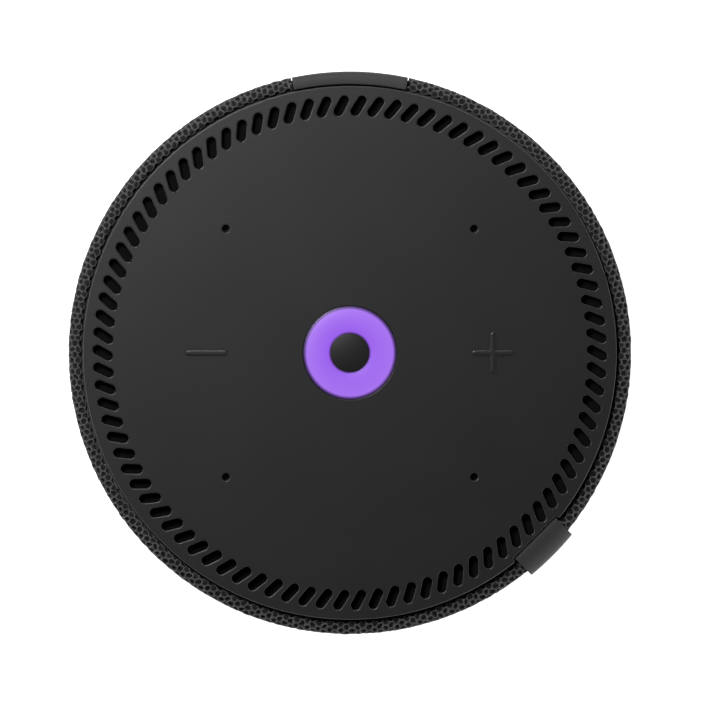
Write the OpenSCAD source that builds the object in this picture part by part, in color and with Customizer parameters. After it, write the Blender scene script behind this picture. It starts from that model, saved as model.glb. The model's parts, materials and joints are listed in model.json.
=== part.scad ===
// Round smart home hub: a fabric-sided speaker puck with a touch panel, a light ring,
// a slotted sound ring, a rear connector strip and a fold-over side tag.
// Frame: millimetres, +Z up, the hub stands on z = 0, the front faces -Y, the rear strip +Y.

/* [Body] */
// Overall diameter over the fabric
body_d = 98; // [96:1:120]
// Height of the top panel's face above the table
body_h = 56; // [46.5:0.5:90]
// Width of the fabric band that shows around the panel
band_w = 2.25; // [1.6:0.05:3]
// Radius of the fabric's top shoulder
shoulder_r = 2.6; // [2.2:0.1:3.4]
// Thickness of the stretched fabric
fabric_t = 1.2; // [0.6:0.1:1.6]

/* [Top panel] */
// Thickness of the top panel
panel_t = 2.0; // [1.6:0.1:3]
// Gap between the panel's rim and the fabric
panel_gap = 0.35; // [0.2:0.05:0.8]
// Height of the raised volume marks
mark_h = 0.3; // [0.15:0.05:0.5]
// Length of a volume mark's stroke
mark_l = 7.3; // [5:0.1:9]
// Width of a volume mark's stroke
mark_w = 1.05; // [0.5:0.05:1.2]
// Distance of the volume marks from the centre
mark_r = 24.9; // [20:0.1:27]
// Radius of the light window
window_r = 8.1; // [6:0.1:10]
// Radius of the dark spot in the middle of the light window
spot_r = 3.4; // [2:0.1:5]
// Distance of a microphone port from the centre, along X and along Y
mic_xy = 21.6; // [18:0.1:23]
// Diameter of a microphone port
mic_port_d = 1.4; // [1:0.1:2]
// Diameter of the bore from a port down to its microphone
mic_bore_d = 0.8; // [0.6:0.1:0.9]

/* [Sound slots] */
// Number of slots round the panel
slot_n = 90; // [60:1:90]
// Width of a slot
slot_w = 1.67; // [1.2:0.01:1.7]
// Length of a slot, end to end
slot_l = 3.84; // [3:0.01:4.2]
// How far the slots' middle circle lies inside the panel's rim
slot_inset = 3.4; // [3.2:0.05:4.2]
// Lean of a slot away from the radius, in degrees
slot_lean = 30; // [0:1:35]

/* [Side] */
// Width of the rear connector strip
strip_w = 20.3; // [18:0.1:26]
// Width of the side tag
tag_w = 10; // [6:0.5:14]
// Thickness of the side tag
tag_t = 1.0; // [0.6:0.1:1.2]
// Length of the side tag down the side
tag_drop = 15; // [8:1:22]
// Direction of the side tag, in degrees from +X
tag_angle = -45; // [-60:1:-30]
// Wall of the perforated side frame
frame_wall = 1.8; // [1.4:0.1:2.4]
// Number of sound windows round the side frame, in each row
frame_windows = 28; // [16:1:32]

/* [Base] */
// How far the foot ring stands below the base cover
foot_stand = 0.8; // [0.4:0.1:1.5]
// Thickness of the base cover's floor
base_t = 3.0; // [2.8:0.1:4]
// Width of the foot ring
foot_w = 8; // [7:0.5:9]

/* [Speaker] */
// Radius of the driver's mounting flange
driver_r = 26; // [24:0.5:28]
// Air gap between the baffle and the top carrier
sound_gap = 6; // [5.5:0.1:10]
// Wall of the sealed speaker box
box_wall = 2.0; // [1.6:0.1:2.6]
// Travel of the driver's cone either way
cone_travel = 2.0; // [1:0.1:2.2]
// Distance of the speaker box's flat sides from the centre
flat_x = 32; // [29:0.5:34]

/* [Switch] */
// Travel of the microphone mute slider
slide_travel = 2.5; // [1.5:0.1:3]
// Width of the mute slider's knob
knob_w = 4.6; // [3:0.1:5]
// Height of the mute slider's knob
knob_h = 2.4; // [2:0.1:3]

/* [Hidden] */
$fn = 96;
e = 0.01;                                  // overshoot of a cut past a face
clear = 0.1;                               // gap between neighbouring pieces
body_r = body_d / 2;
lip_r = body_r - band_w;                   // inner edge of the fabric band
panel_r = lip_r - panel_gap;
panel_z0 = body_h - panel_t;
frame_ro = body_r - fabric_t;
frame_ri = frame_ro - frame_wall;
shoulder_c = body_r - shoulder_r;          // radius of the shoulder arc's centre
tag_top = body_h;                          // the tag lies level with the panel
shoulder_z = tag_top - tag_t - shoulder_r; // height of the shoulder arc's centre
lip_z = shoulder_z + sqrt(pow(shoulder_r - fabric_t, 2) - pow(lip_r - shoulder_c, 2));

// Light window and microphones
window_rim = 0.9;                          // flange that catches under the panel
window_rim_t = 0.6;
spot_t = 0.3;
mesh_t = 0.3;
lamp_n = 6;
mic_size = [3.5, 2.7, 1];
mic_gasket_r = 2.1;

// Tag
notch_gap = 0.2;                           // gap that the panel leaves round the tag
tag_in = panel_r - 0.8;                    // inner face of the tag

// Base and electronics bay
base_z0 = foot_stand;
base_z1 = base_z0 + base_t;
foot_sink = 0.8;                           // depth of the foot ring's groove
base_r = body_r - 2.0;
base_edge = 1.8;                           // rounding of the base cover's lower edge
hem_z = base_z1 + 0.6;                     // underside of the fabric
hem_r = body_r - 2.3;                      // inner edge of the turned-under fabric
hem_round = 1.6;
frame_foot_z = hem_z + fabric_t;           // underside of the frame's wall
flange_t = 1.6;
board_z0 = base_z1 + 2.6;
board_t = 1.2;
board_z1 = board_z0 + board_t;
tail_w = 18;                               // width of the board's tail under the power socket
tail_y = frame_ri - 0.4;
bay_top = board_z1 + 5.4;                  // underside of the speaker box

// Processor's shield and its heat pad
shield_at = [-18, -8];
shield_s = 17;
shield_h = 2.2;
pad_t = 0.5;

// Speaker box, from the top down
film_t = 0.2;
head_room = 1.6;                           // touch board to panel
touch_t = 1.0;
touch_z1 = panel_z0 - head_room;
touch_z0 = touch_z1 - touch_t;
carrier_t = 2.0;
carrier_z1 = touch_z0 - 1.8;
carrier_z0 = carrier_z1 - carrier_t;
carrier_r = frame_ri - 0.2;
baffle_t = 2.5;
baffle_z1 = carrier_z0 - sound_gap;
baffle_z0 = baffle_z1 - baffle_t;
gasket_t = 0.6;
box_z0 = bay_top;
box_z1 = baffle_z0 - gasket_t;
box_h = box_z1 - box_z0;
box_r = frame_ri - 4;
box_floor = 2.0;
box_flat = flat_x + box_wall;              // outer face of the flat sides
gland_x = 29.2;                            // where the leads leave the speaker box
gland_y = 13.8;

// Sound ring and touch board
slot_r = panel_r - slot_inset;
slot_reach = (slot_l - slot_w) / 2 * cos(slot_lean) + slot_w / 2;
vent_ri = slot_r - slot_reach - 0.3;       // the open ring under the slots
vent_ro = slot_r + slot_reach + 0.3;
touch_r = vent_ri - 2.9;
touch_screw_r = touch_r - 4;
touch_screw_a = [25, 115, 205, 295];

// Screws
screw_r = 1.1;                             // tapped hole
thread_r = screw_r - 0.02;
pass_r = screw_r + 0.15;                   // hole that a screw passes through
screw_head_r = 2.0;
screw_head_h = 1.2;
board_screw_l = 3.2;
carrier_screw_l = 5;
baffle_screw_l = 6;
driver_screw_l = 3.8;
base_screw_r = frame_ri - 8.5;             // circle of the four long base screws
foot_ri = base_screw_r - foot_w / 2;       // the foot ring hides the base screws
foot_ro = base_screw_r + foot_w / 2;
board_r = base_screw_r - 4.1;
flange_ri = base_screw_r - 3.1;
boss_r = 3;                                // bosses round the long base screws
boss_a = max(45, acos((box_flat - boss_r - 1) / base_screw_r)); // keeps them inside the flat sides
small_boss_r = 2.4;
board_boss_r = 2.6;
carrier_boss_r = 2.3;
deflector_pin_r = 1.4;
base_screw_a = [boss_a, 180 - boss_a, 180 + boss_a, 360 - boss_a];
carrier_screw_r = carrier_r - 2.4;
carrier_screw_a = [45, 135, 225, 315];
baffle_screw_r = box_r - 3.4;
baffle_screw_a = [62, 118, 90, 242, 298, 270];
driver_screw_r = driver_r + 2.4;
driver_screw_a = [45, 135, 225, 315];
board_screw_r = board_r - 4.4;
board_screw_a = [20, 160, 235, 305];

// Rear strip, socket and switch
strip_a = asin(strip_w / 2 / body_r);      // half angle of the strip
strip_top = body_h - 1;
socket_w = 8.94;
socket_h = 3.26;
socket_l = 7.3;
socket_back = 1;                           // its closed back
socket_z = board_z1 + socket_h / 2;
socket_y = body_r - 0.5;                   // mouth of the socket
rear_z = bay_top + (carrier_z0 - bay_top) * 0.6; // height of the mute slider
rear_y = box_r + 0.3;                      // back face of the rear board
rear_t = 0.8;
rear_w = 16;
rear_h = 12;
leg_w = 2.6;                               // leg of the rear board
switch_d = 2.0;
switch_play = 0.15;                        // room round the slider's stem
knob_y0 = frame_ro + clear;
knob_y1 = body_r - 0.1;
stem_w = 1.6;

// Driver, measured down from the flange's face
drv_z = baffle_z1 + 1.5;
basket_d = 10.2;
surround_ro = driver_r - 2.8;
cone_ro = surround_ro - 3.7;
coil_r = 10;
plate_t = 2;
magnet_t = 4;
yoke_t = 2;
pole_r = 9.4;
gap_ro = 11.1;
magnet_r = 16.5;
driver_flange_t = 1.5;
cone_z = -0.6;                             // rim of the cone
cone_neck_z = -6.6;
spider_z = -7;
spider_seat_r = 15.2;
tags_z = -8.4;                             // terminal plate

// Passive radiators
rad_margin = 2.6;
rad_h = box_h - 2 * rad_margin;            // height of a radiator's frame
rad_l = 2 * (sqrt(box_r * box_r - box_flat * box_flat) - rad_margin);
rad_rim = 2.6;
rad_roll = min(3, (rad_h - 2 * rad_rim) / 4);
rad_t = 1.6;
rad_plate_t = 0.9;
rad_weight_t = 1.8;
plate_l = rad_l - 2 * rad_rim - 2 * rad_roll;
plate_h = rad_h - 2 * rad_rim - 2 * rad_roll;

// Ribbon and its connectors
ribbon_w = 8;
ribbon_t = 0.3;
plug_w = 12;
plug_slot_w = ribbon_w + 0.4;
plug_slot_h = 0.6;

// Aerials and their sockets on the main board
coax_x = [9.5, 13.5];
coax_y = 18.6;
aerial_h = 9;
aerial_t = 0.3;
aerial_z = box_z0 + (box_h - aerial_h) / 2;

// ---------------------------------------------------------------- helpers

// Ring between two radii
module ring(ri, ro, h) {
    difference() {
        cylinder(r = ro, h = h);
        translate([0, 0, -e]) cylinder(r = ri, h = h + 2 * e);
    }
}

// Flat racetrack, l long and w wide
module track(l, w) {
    square([l - w, w], center = true);
    for (s = [-1, 1]) translate([s * (l - w) / 2, 0]) circle(d = w);
}

// Copies at the given angles on a circle
module around(r, angles) {
    for (a = angles) rotate([0, 0, a]) translate([r, 0, 0]) children();
}

// Pan-head screw, head down at z = 0, shank upwards, with a cross recess
module screw(shank_r, shank_l, head_r = screw_head_r, head_h = screw_head_h) {
    difference() {
        union() {
            cylinder(r = head_r, h = head_h);
            translate([0, 0, head_h - e]) cylinder(r = shank_r, h = shank_l + e);
        }
        for (a = [0, 90]) rotate([0, 0, a])
            translate([-head_r * 0.55, -0.2, -e]) cube([head_r * 1.1, 0.4, head_h * 0.55]);
    }
}

// Screw driven down through a face at z
module driven(z, shank_l) {
    translate([0, 0, z + screw_head_h]) mirror([0, 0, 1]) screw(thread_r, shank_l);
}

// Copies at the four microphone ports
module at_ports() {
    for (x = [-1, 1], y = [-1, 1]) translate([x * mic_xy, y * mic_xy, 0]) children();
}

// Box with its corner at p
module block(p, s) {
    translate(p) cube(s);
}

// Outline of the speaker box, in by d
module box_outline(d) {
    intersection() {
        circle(r = box_r - d);
        square([2 * (box_flat - d), 3 * box_r], center = true);
    }
}

// Slanted through slot, standing at its place on the +X side
module slot(h) {
    translate([slot_r, 0, 0]) rotate([0, 0, -slot_lean]) {
        translate([-(slot_l - slot_w) / 2, -slot_w / 2, 0]) cube([slot_l - slot_w, slot_w, h]);
        for (s = [-1, 1]) translate([s * (slot_l - slot_w) / 2, 0, 0])
            cylinder(d = slot_w, h = h, $fn = 24);
    }
}

// Round wire swept along points
function unit(v) = v / norm(v);
function heading(p, i) = unit(p[min(i + 1, len(p) - 1)] - p[max(i - 1, 0)]);
function square_to(u, d) = unit(u - d * (u * d));
function carried(p, i, u) = i == len(p) ? [] :
    let (v = square_to(u, heading(p, i))) concat([v], carried(p, i + 1, v));
module wire(p, r, n = 8) {
    sides = carried(p, 0, [0.31, 0.92, 0.24]);
    rings = [for (i = [0:len(p) - 1]) let (u = sides[i], v = cross(heading(p, i), u))
        for (k = [0:n - 1]) p[i] + r * (u * cos(360 * k / n) + v * sin(360 * k / n))];
    last = (len(p) - 1) * n;
    polyhedron(points = rings, faces = concat(
        [[for (k = [n - 1:-1:0]) k]],
        [[for (k = [0:n - 1]) last + k]],
        [for (i = [0:len(p) - 2]) for (k = [0:n - 1]) let (m = (k + 1) % n)
            [i * n + k, i * n + m, (i + 1) * n + m, (i + 1) * n + k]]));
}

// ---------------------------------------------------------------- top of the hub

module volume_bar() {
    translate([-(mark_l - mark_w) / 2, -mark_w / 2, 0]) cube([mark_l - mark_w, mark_w, mark_h]);
    for (s = [-1, 1]) translate([s * (mark_l - mark_w) / 2, 0, 0]) cylinder(d = mark_w, h = mark_h);
}

module top_panel() {
    color([0.17, 0.17, 0.17]) {
        difference() {
            translate([0, 0, panel_z0]) cylinder(r = panel_r, h = panel_t);
            translate([0, 0, panel_z0 - e]) {
                cylinder(r = window_r, h = panel_t + 2 * e);
                at_ports() cylinder(d = mic_port_d, h = panel_t + 2 * e);
                for (i = [0:slot_n - 1]) rotate([0, 0, 360 * i / slot_n]) slot(panel_t + 2 * e);
                rotate([0, 0, tag_angle])
                    translate([tag_in - notch_gap, -tag_w / 2 - notch_gap, 0])
                    cube([panel_r, tag_w + 2 * notch_gap, panel_t + 2 * e]);
            }
        }
        translate([-mark_r, 0, body_h]) volume_bar();
        translate([mark_r, 0, body_h]) {
            volume_bar();
            rotate([0, 0, 90]) volume_bar();
        }
    }
}

// Translucent disc, flush with the panel, with a seat for the dark spot
module light_window() {
    color([0.63, 0.45, 0.93]) difference() {
        union() {
            translate([0, 0, panel_z0 - e]) cylinder(r = window_r - 0.02, h = panel_t + e);
            translate([0, 0, panel_z0 - window_rim_t])
                cylinder(r = window_r + window_rim, h = window_rim_t);
        }
        translate([0, 0, body_h - spot_t]) cylinder(r = spot_r, h = 1);
    }
}

module window_mask() {
    color([0.17, 0.17, 0.17]) translate([0, 0, body_h - spot_t]) cylinder(r = spot_r, h = spot_t);
}

module slot_mesh() {
    color([0.06, 0.06, 0.06]) translate([0, 0, panel_z0 - mesh_t]) ring(vent_ri, vent_ro, mesh_t);
}

module touch_film() {
    color([0.75, 0.45, 0.2]) translate([0, 0, panel_z0 - film_t]) difference() {
        cylinder(r = touch_r - 2, h = film_t);
        translate([0, 0, -e]) {
            cylinder(r = window_r + window_rim + 0.2, h = 1);
            at_ports() cylinder(r = mic_gasket_r + 0.3, h = 1);
        }
    }
}

// White cup that keeps each lamp's light under its own part of the window
module light_shroud() {
    h = head_room - window_rim_t;
    cup_ri = 2.2;
    fin_t = 0.6;
    color([0.9, 0.9, 0.9]) translate([0, 0, touch_z1]) {
        ring(window_r - 0.3, window_r + window_rim, h);
        ring(cup_ri, spot_r, h);
        around(0, [for (i = [0:lamp_n - 1]) 360 / lamp_n * i])
            translate([spot_r - 0.1, -fin_t / 2, 0]) cube([window_r - spot_r, fin_t, h]);
    }
}

module ring_leds() {
    size = 2;
    color([0.95, 0.93, 0.85]) around(5.6, [for (i = [0:lamp_n - 1]) 360 / lamp_n * (i + 0.5)])
        translate([-size / 2, -size / 2, touch_z1]) cube([size, size, 0.8]);
}

module touch_board() {
    plug_h = 1.2;
    color([0.05, 0.25, 0.12]) translate([0, 0, touch_z0]) difference() {
        cylinder(r = touch_r, h = touch_t);
        translate([0, 0, -e]) around(touch_screw_r, touch_screw_a) cylinder(r = screw_r + 0.2, h = 2);
    }
    // Ribbon connector on its underside
    color([0.9, 0.88, 0.8]) difference() {
        block([-plug_w / 2, -touch_r + 1.5, touch_z0 - plug_h], [plug_w, 4, plug_h]);
        block([-plug_slot_w / 2, -touch_r + 1.4, touch_z0 - 1], [plug_slot_w, 3, plug_slot_h]);
    }
}

module microphones() {
    color([0.8, 0.78, 0.7]) at_ports() difference() {
        translate([-mic_size.x / 2, -mic_size.y / 2, touch_z1]) cube(mic_size);
        translate([0, 0, touch_z1 + mic_size.z - 0.3]) cylinder(d = mic_bore_d, h = 1);
    }
}

module mic_gaskets() {
    color([0.12, 0.12, 0.12]) at_ports() translate([0, 0, touch_z1 + mic_size.z])
        ring(mic_bore_d / 2, mic_gasket_r, head_room - mic_size.z);
}

// Plate under the panel, open below the sound slots
module top_carrier() {
    ribs = 12;
    rib_w = 1.6;
    wall = 1.2;
    color([0.1, 0.1, 0.1]) {
        difference() {
            translate([0, 0, carrier_z0]) union() {
                cylinder(r = vent_ri, h = carrier_t);
                ring(vent_ro, carrier_r, carrier_t);
                around(vent_ri - 1, [for (i = [0:ribs - 1]) 360 / ribs * (i + 0.5)])
                    translate([0, -rib_w / 2, 0]) cube([vent_ro - vent_ri + 1.5, rib_w, carrier_t]);
                around(carrier_screw_r, carrier_screw_a) cylinder(r = carrier_boss_r, h = carrier_t);
            }
            translate([0, 0, carrier_z0 - e]) {
                around(carrier_screw_r, carrier_screw_a) cylinder(r = screw_r + 0.1, h = 9);
                around(touch_screw_r, touch_screw_a) cylinder(r = screw_r, h = 9);
                cylinder(r = deflector_pin_r + clear, h = 9);
            }
        }
        // Standoffs for the touch board and an upstand that carries the panel
        translate([0, 0, carrier_z1 - e]) {
            around(touch_screw_r, touch_screw_a)
                ring(screw_r, small_boss_r, touch_z0 - carrier_z1 + e);
            difference() {
                ring(vent_ri - 0.2 - wall, vent_ri - 0.2, panel_z0 - carrier_z1 + e);
                block([-5, -vent_ri - 1, e], [10, 4, touch_z0 - carrier_z1]);
            }
        }
    }
}

// Shallow cone that turns the driver's sound outwards
module sound_deflector() {
    depth = 3.2;
    foot = 16;
    tip = 1.5;
    bend = (pow(foot - tip, 2) + depth * depth) / (2 * depth);
    color([0.1, 0.1, 0.1]) {
        translate([0, 0, carrier_z0 - depth]) rotate_extrude() difference() {
            square([foot, depth]);
            translate([foot, depth - bend]) circle(r = bend, $fn = 720);
        }
        translate([0, 0, carrier_z0 - e]) cylinder(r = deflector_pin_r, h = carrier_t);
    }
}

// ---------------------------------------------------------------- side of the hub

// Section of the fabric, as r and z
module fabric_section() {
    difference() {
        union() {
            translate([hem_r, hem_z + hem_round]) square([body_r - hem_r, shoulder_z - hem_z - hem_round]);
            intersection() {
                translate([shoulder_c, shoulder_z]) circle(r = shoulder_r);
                translate([lip_r, shoulder_z - e]) square([band_w, shoulder_r + 1]);
            }
            translate([hem_r, hem_z]) square([body_r - hem_round - hem_r, hem_round + e]);
            intersection() {
                translate([body_r - hem_round, hem_z + hem_round]) circle(r = hem_round);
                translate([body_r - hem_round - e, hem_z]) square([hem_round + e, hem_round + e]);
            }
        }
        // Room for the frame
        translate([hem_r - 1, frame_foot_z])
            square([frame_ro - hem_r + 1, shoulder_z - frame_foot_z]);
        intersection() {
            translate([shoulder_c, shoulder_z]) circle(r = shoulder_r - fabric_t);
            translate([shoulder_c - 3, shoulder_z - 2 * e]) square([9, 9]);
        }
    }
}

module fabric_sleeve() {
    start = 90 + strip_a + 0.25;
    sweep = 360 - 2 * strip_a - 0.5;
    color([0.22, 0.22, 0.22]) rotate([0, 0, start])
        rotate_extrude(angle = sweep) fabric_section();
}

// Perforated cage that the fabric is stretched over
module side_frame() {
    pitch = 360 / (frame_windows + 4);
    win_w = min(6, 2 * PI * frame_ri / (frame_windows + 4) - 2.4);
    rows = 3;
    z0 = frame_foot_z + 6;
    z1 = carrier_z0 - 2;
    row_h = (z1 - z0) / rows;
    boss_h = 4.6;
    rail_w = 1.7;
    rail_t = 0.7;
    cheek_t = 1.3;
    cheek_y = sqrt(pow(frame_ri, 2) - pow(rear_w / 2 + clear + cheek_t, 2)) + 0.8;
    color([0.08, 0.08, 0.08]) difference() {
        union() {
            rotate_extrude() union() {
                translate([frame_ri, frame_foot_z]) square([frame_wall, shoulder_z - frame_foot_z]);
                intersection() {
                    translate([shoulder_c, shoulder_z]) circle(r = shoulder_r - fabric_t);
                    translate([frame_ri, shoulder_z - e]) square([lip_r - frame_ri, lip_z - shoulder_z + e]);
                }
                translate([flange_ri, base_z1]) square([hem_r - clear - flange_ri, flange_t]);
                translate([frame_ri, base_z1]) square([hem_r - clear - frame_ri, frame_foot_z - base_z1 + e]);
                // Ledge that carries the top carrier
                translate([vent_ro + 0.2, carrier_z0 - 1]) square([frame_ri - vent_ro, 1]);
            }
            around(base_screw_r, base_screw_a)
                translate([0, 0, base_z1]) cylinder(r = boss_r, h = box_z0 - base_z1);
            intersection() {
                around(carrier_screw_r, carrier_screw_a)
                    translate([0, 0, carrier_z0 - boss_h]) cylinder(r = carrier_boss_r, h = boss_h);
                cylinder(r = frame_ri + 1, h = body_h);
            }
            // Rails for the rear board
            intersection() {
                for (s = [0, 1], y = [rear_y - clear - rail_t, rear_y + rear_t + clear]) mirror([s, 0, 0])
                    block([rear_w / 2 - 0.3, y, rear_z - rear_h / 2], [rail_w, rail_t, rear_h]);
                cylinder(r = frame_ri + 1, h = body_h);
            }
            for (s = [0, 1]) mirror([s, 0, 0])
                block([rear_w / 2 + clear, rear_y - clear - rail_t, rear_z - rear_h / 2],
                      [cheek_t, cheek_y - rear_y + clear + rail_t, rear_h]);
        }
        for (k = [0:rows - 1], i = [0:frame_windows - 1])
            rotate([0, 0, 90 + pitch * (i + 2.5)])
                translate([frame_ri - 2, -win_w / 2, z0 + k * row_h + 1])
                    cube([frame_wall + 6, win_w, row_h - 2]);
        around(base_screw_r, base_screw_a)
            translate([0, 0, base_z1 - e]) cylinder(r = screw_r + 0.2, h = box_z0);
        around(carrier_screw_r, carrier_screw_a)
            translate([0, 0, carrier_z0 - boss_h + 0.6]) cylinder(r = screw_r, h = boss_h);
        socket_cut(frame_ri - 3, 0.3);
        block([-(stem_w + slide_travel) / 2 - 0.3, frame_ri - 3, rear_z - stem_w / 2 - 0.2],
              [stem_w + slide_travel + 0.6, 9, stem_w + 0.4]);
        // The socket's tail of the board runs over the flange
        block([-tail_w / 2 - 0.3, flange_ri - 2, board_z0 - 0.2],
              [tail_w + 0.6, tail_y - flange_ri + 2.1, socket_h + 2]);
    }
}

// Opening for the power socket, larger by d all round
module socket_cut(y0, d) {
    translate([0, y0, socket_z]) rotate([-90, 0, 0])
        linear_extrude(height = 20) track(socket_w + 2 * d, socket_h + 2 * d);
}

// Section of the rear strip, as r and z
module strip_section() {
    round = 1;
    difference() {
        union() {
            translate([hem_r, hem_z + hem_round])
                square([body_r - hem_r, strip_top - round - hem_z - hem_round]);
            translate([lip_r, strip_top - round - e]) square([band_w - round, round + e]);
            translate([body_r - round, strip_top - round]) circle(r = round);
            translate([hem_r, hem_z]) square([body_r - hem_round - hem_r, hem_round + e]);
            intersection() {
                translate([body_r - hem_round, hem_z + hem_round]) circle(r = hem_round);
                translate([body_r - hem_round - e, hem_z]) square([hem_round + e, hem_round + e]);
            }
        }
        translate([hem_r - 1, frame_foot_z]) square([frame_ro - hem_r + 1, shoulder_z - frame_foot_z]);
        translate([hem_r - 1, shoulder_z - e]) square([lip_r - hem_r + 1, 9]);
        intersection() {
            translate([shoulder_c, shoulder_z]) circle(r = shoulder_r - fabric_t);
            translate([shoulder_c - 3, shoulder_z - 2 * e]) square([9, 9]);
        }
    }
}

module rear_panel() {
    color([0.2, 0.2, 0.2]) difference() {
        rotate([0, 0, 90 - strip_a]) rotate_extrude(angle = 2 * strip_a) strip_section();
        socket_cut(frame_ro - 2, 0.15);
        block([-(knob_w + slide_travel) / 2 - clear, frame_ro - 2, rear_z - knob_h / 2 - clear],
              [knob_w + slide_travel + 2 * clear, 9, knob_h + 2 * clear]);
    }
}

// Section of the fold-over tag, as r and z
module tag_section() {
    foot_z = shoulder_z - tag_drop;
    skin = 0.02;
    difference() {
        union() {
            translate([shoulder_c, shoulder_z]) circle(r = shoulder_r + tag_t);
            translate([tag_in - 1, shoulder_z]) square([shoulder_c - tag_in + 1, shoulder_r + tag_t]);
            translate([shoulder_c, foot_z]) square([shoulder_r + tag_t, tag_drop]);
        }
        translate([shoulder_c, shoulder_z]) circle(r = shoulder_r + skin);
        translate([tag_in + tag_t, shoulder_z - 1]) square([shoulder_c - tag_in, shoulder_r + skin + 1]);
        translate([0, foot_z - 9]) square([body_r + skin, tag_drop + 9]);
        translate([0, shoulder_z - 9]) square([shoulder_c + tag_t, 9]);
        translate([0, shoulder_z - 9]) square([body_r, lip_z - shoulder_z + 9 + skin]);
    }
}

module side_tag() {
    color([0.16, 0.16, 0.16]) rotate([0, 0, tag_angle]) intersection() {
        rotate([0, 0, -20]) rotate_extrude(angle = 40) tag_section();
        translate([tag_in, -tag_w / 2, 0]) cube([20, tag_w, body_h]);
    }
}

// Knob and stem of the mute slider, at its microphones-on end
module mute_slider() {
    x = -slide_travel / 2;
    color([0.3, 0.3, 0.3]) {
        difference() {
            block([x - knob_w / 2, knob_y0, rear_z - knob_h / 2], [knob_w, knob_y1 - knob_y0, knob_h]);
            for (k = [-1:1])
                block([x + k * 1.1 - 0.2, knob_y1 - 0.3, rear_z - knob_h / 2 - e], [0.4, 1, knob_h + 2 * e]);
        }
        block([x - stem_w / 2, rear_y + rear_t + switch_d - 0.7, rear_z - stem_w / 2],
              [stem_w, knob_y0 - rear_y - rear_t - switch_d + 0.7 + e, stem_w]);
    }
}

module mute_switch() {
    w = 8.6;
    h = 3.6;
    slot = [stem_w + slide_travel + 2 * switch_play, 2, stem_w + 2 * switch_play];
    color([0.75, 0.75, 0.75]) difference() {
        block([-w / 2, rear_y + rear_t, rear_z - h / 2], [w, switch_d, h]);
        block([-slot.x / 2, rear_y + rear_t + switch_d - 0.8, rear_z - slot.z / 2], slot);
    }
}

// Switch board with a leg that plugs into the main board
module rear_board() {
    leg_z = board_z1 + 1;
    color([0.05, 0.25, 0.12]) {
        block([-rear_w / 2, rear_y, rear_z - rear_h / 2], [rear_w, rear_t, rear_h]);
        block([-rear_w / 2, rear_y, leg_z], [leg_w, rear_t, rear_z - leg_z]);
    }
}

// Metal shell of the power socket, open to the rear
module usb_socket_shell() {
    wall = 0.3;
    color([0.8, 0.8, 0.82]) translate([0, socket_y - socket_l, socket_z]) rotate([-90, 0, 0])
        difference() {
            linear_extrude(height = socket_l) track(socket_w, socket_h);
            translate([0, 0, socket_back]) linear_extrude(height = socket_l)
                track(socket_w - 2 * wall, socket_h - 2 * wall);
        }
}

module usb_socket_tongue() {
    tongue = [6.6, socket_l - socket_back - 0.6, 0.7];
    color([0.1, 0.1, 0.1])
        block([-tongue.x / 2, socket_y - socket_l + socket_back, socket_z - tongue.z / 2], tongue);
}

// ---------------------------------------------------------------- base

module base_cover() {
    color([0.12, 0.12, 0.12]) difference() {
        union() {
            rotate_extrude() union() {
                translate([0, base_z0]) square([base_r - base_edge, base_t]);
                translate([0, base_z0 + base_edge]) square([base_r, base_t - base_edge]);
                intersection() {
                    translate([base_r - base_edge, base_z0 + base_edge]) circle(r = base_edge);
                    translate([base_r - base_edge - e, base_z0]) square([base_edge + e, base_edge + e]);
                }
            }
            around(board_screw_r, board_screw_a)
                translate([0, 0, base_z1 - e]) cylinder(r = board_boss_r, h = board_z0 - base_z1 + e);
        }
        // Groove for the foot ring, counterbores and screw holes
        translate([0, 0, base_z0 - e]) ring(foot_ri - clear, foot_ro + clear, foot_sink + e);
        around(base_screw_r, base_screw_a) {
            cylinder(r = screw_r + 0.2, h = 9);
            cylinder(r = screw_head_r + 0.2, h = base_z0 + foot_sink + screw_head_h);
        }
        around(board_screw_r, board_screw_a)
            translate([0, 0, base_z1 - 0.6]) cylinder(r = screw_r, h = 9);
    }
}

module foot_ring() {
    grip = 0.3;
    pitch = 1.6;
    color([0.1, 0.1, 0.1]) difference() {
        ring(foot_ri, foot_ro, foot_stand + foot_sink);
        for (r = [foot_ri + pitch:pitch:foot_ro - pitch])
            translate([0, 0, -e]) ring(r - grip / 2, r + grip / 2, grip);
    }
}

module base_screws() {
    head_z = base_z0 + foot_sink;
    bite = 4;                                  // length in the speaker box
    color([0.6, 0.6, 0.62]) around(base_screw_r, base_screw_a)
        translate([0, 0, head_z]) screw(screw_r, box_z0 + bite - head_z - screw_head_h);
}

// ---------------------------------------------------------------- electronics

module main_board() {
    color([0.05, 0.25, 0.12]) translate([0, 0, board_z0]) difference() {
        union() {
            cylinder(r = board_r, h = board_t);
            block([-tail_w / 2, 0, 0], [tail_w, tail_y, board_t]);
        }
        translate([0, 0, -e]) around(board_screw_r, board_screw_a) cylinder(r = pass_r, h = 9);
    }
}

module processor_shield() {
    wall = 0.3;
    inside = shield_s - 2 * wall;
    color([0.75, 0.75, 0.76]) difference() {
        block([shield_at.x, shield_at.y, board_z1], [shield_s, shield_s, shield_h]);
        block([shield_at.x + wall, shield_at.y + wall, board_z1 - e], [inside, inside, shield_h - wall]);
    }
}

module thermal_pad() {
    inset = 2.5;
    side = shield_s - 2 * inset;
    color([0.6, 0.65, 0.75])
        block([shield_at.x + inset, shield_at.y + inset, board_z1 + shield_h], [side, side, pad_t]);
}

module heat_spreader() {
    size = [29, 25, 0.8];
    notch = [7, 9, 9];
    at = [shield_at.x - 6, shield_at.y - 4, board_z1 + shield_h + pad_t];
    color([0.8, 0.8, 0.82]) difference() {
        block(at, size);
        block([at.x - e, at.y + 21, board_z1], notch);
    }
}

module radio_module() {
    carrier = [14, 12, 0.8];
    can = [9, 10, 1.6];
    color([0.78, 0.78, 0.8]) {
        block([8, 4, board_z1], carrier);
        block([9, 5, board_z1 + carrier.z - e], can);
    }
}

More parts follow.
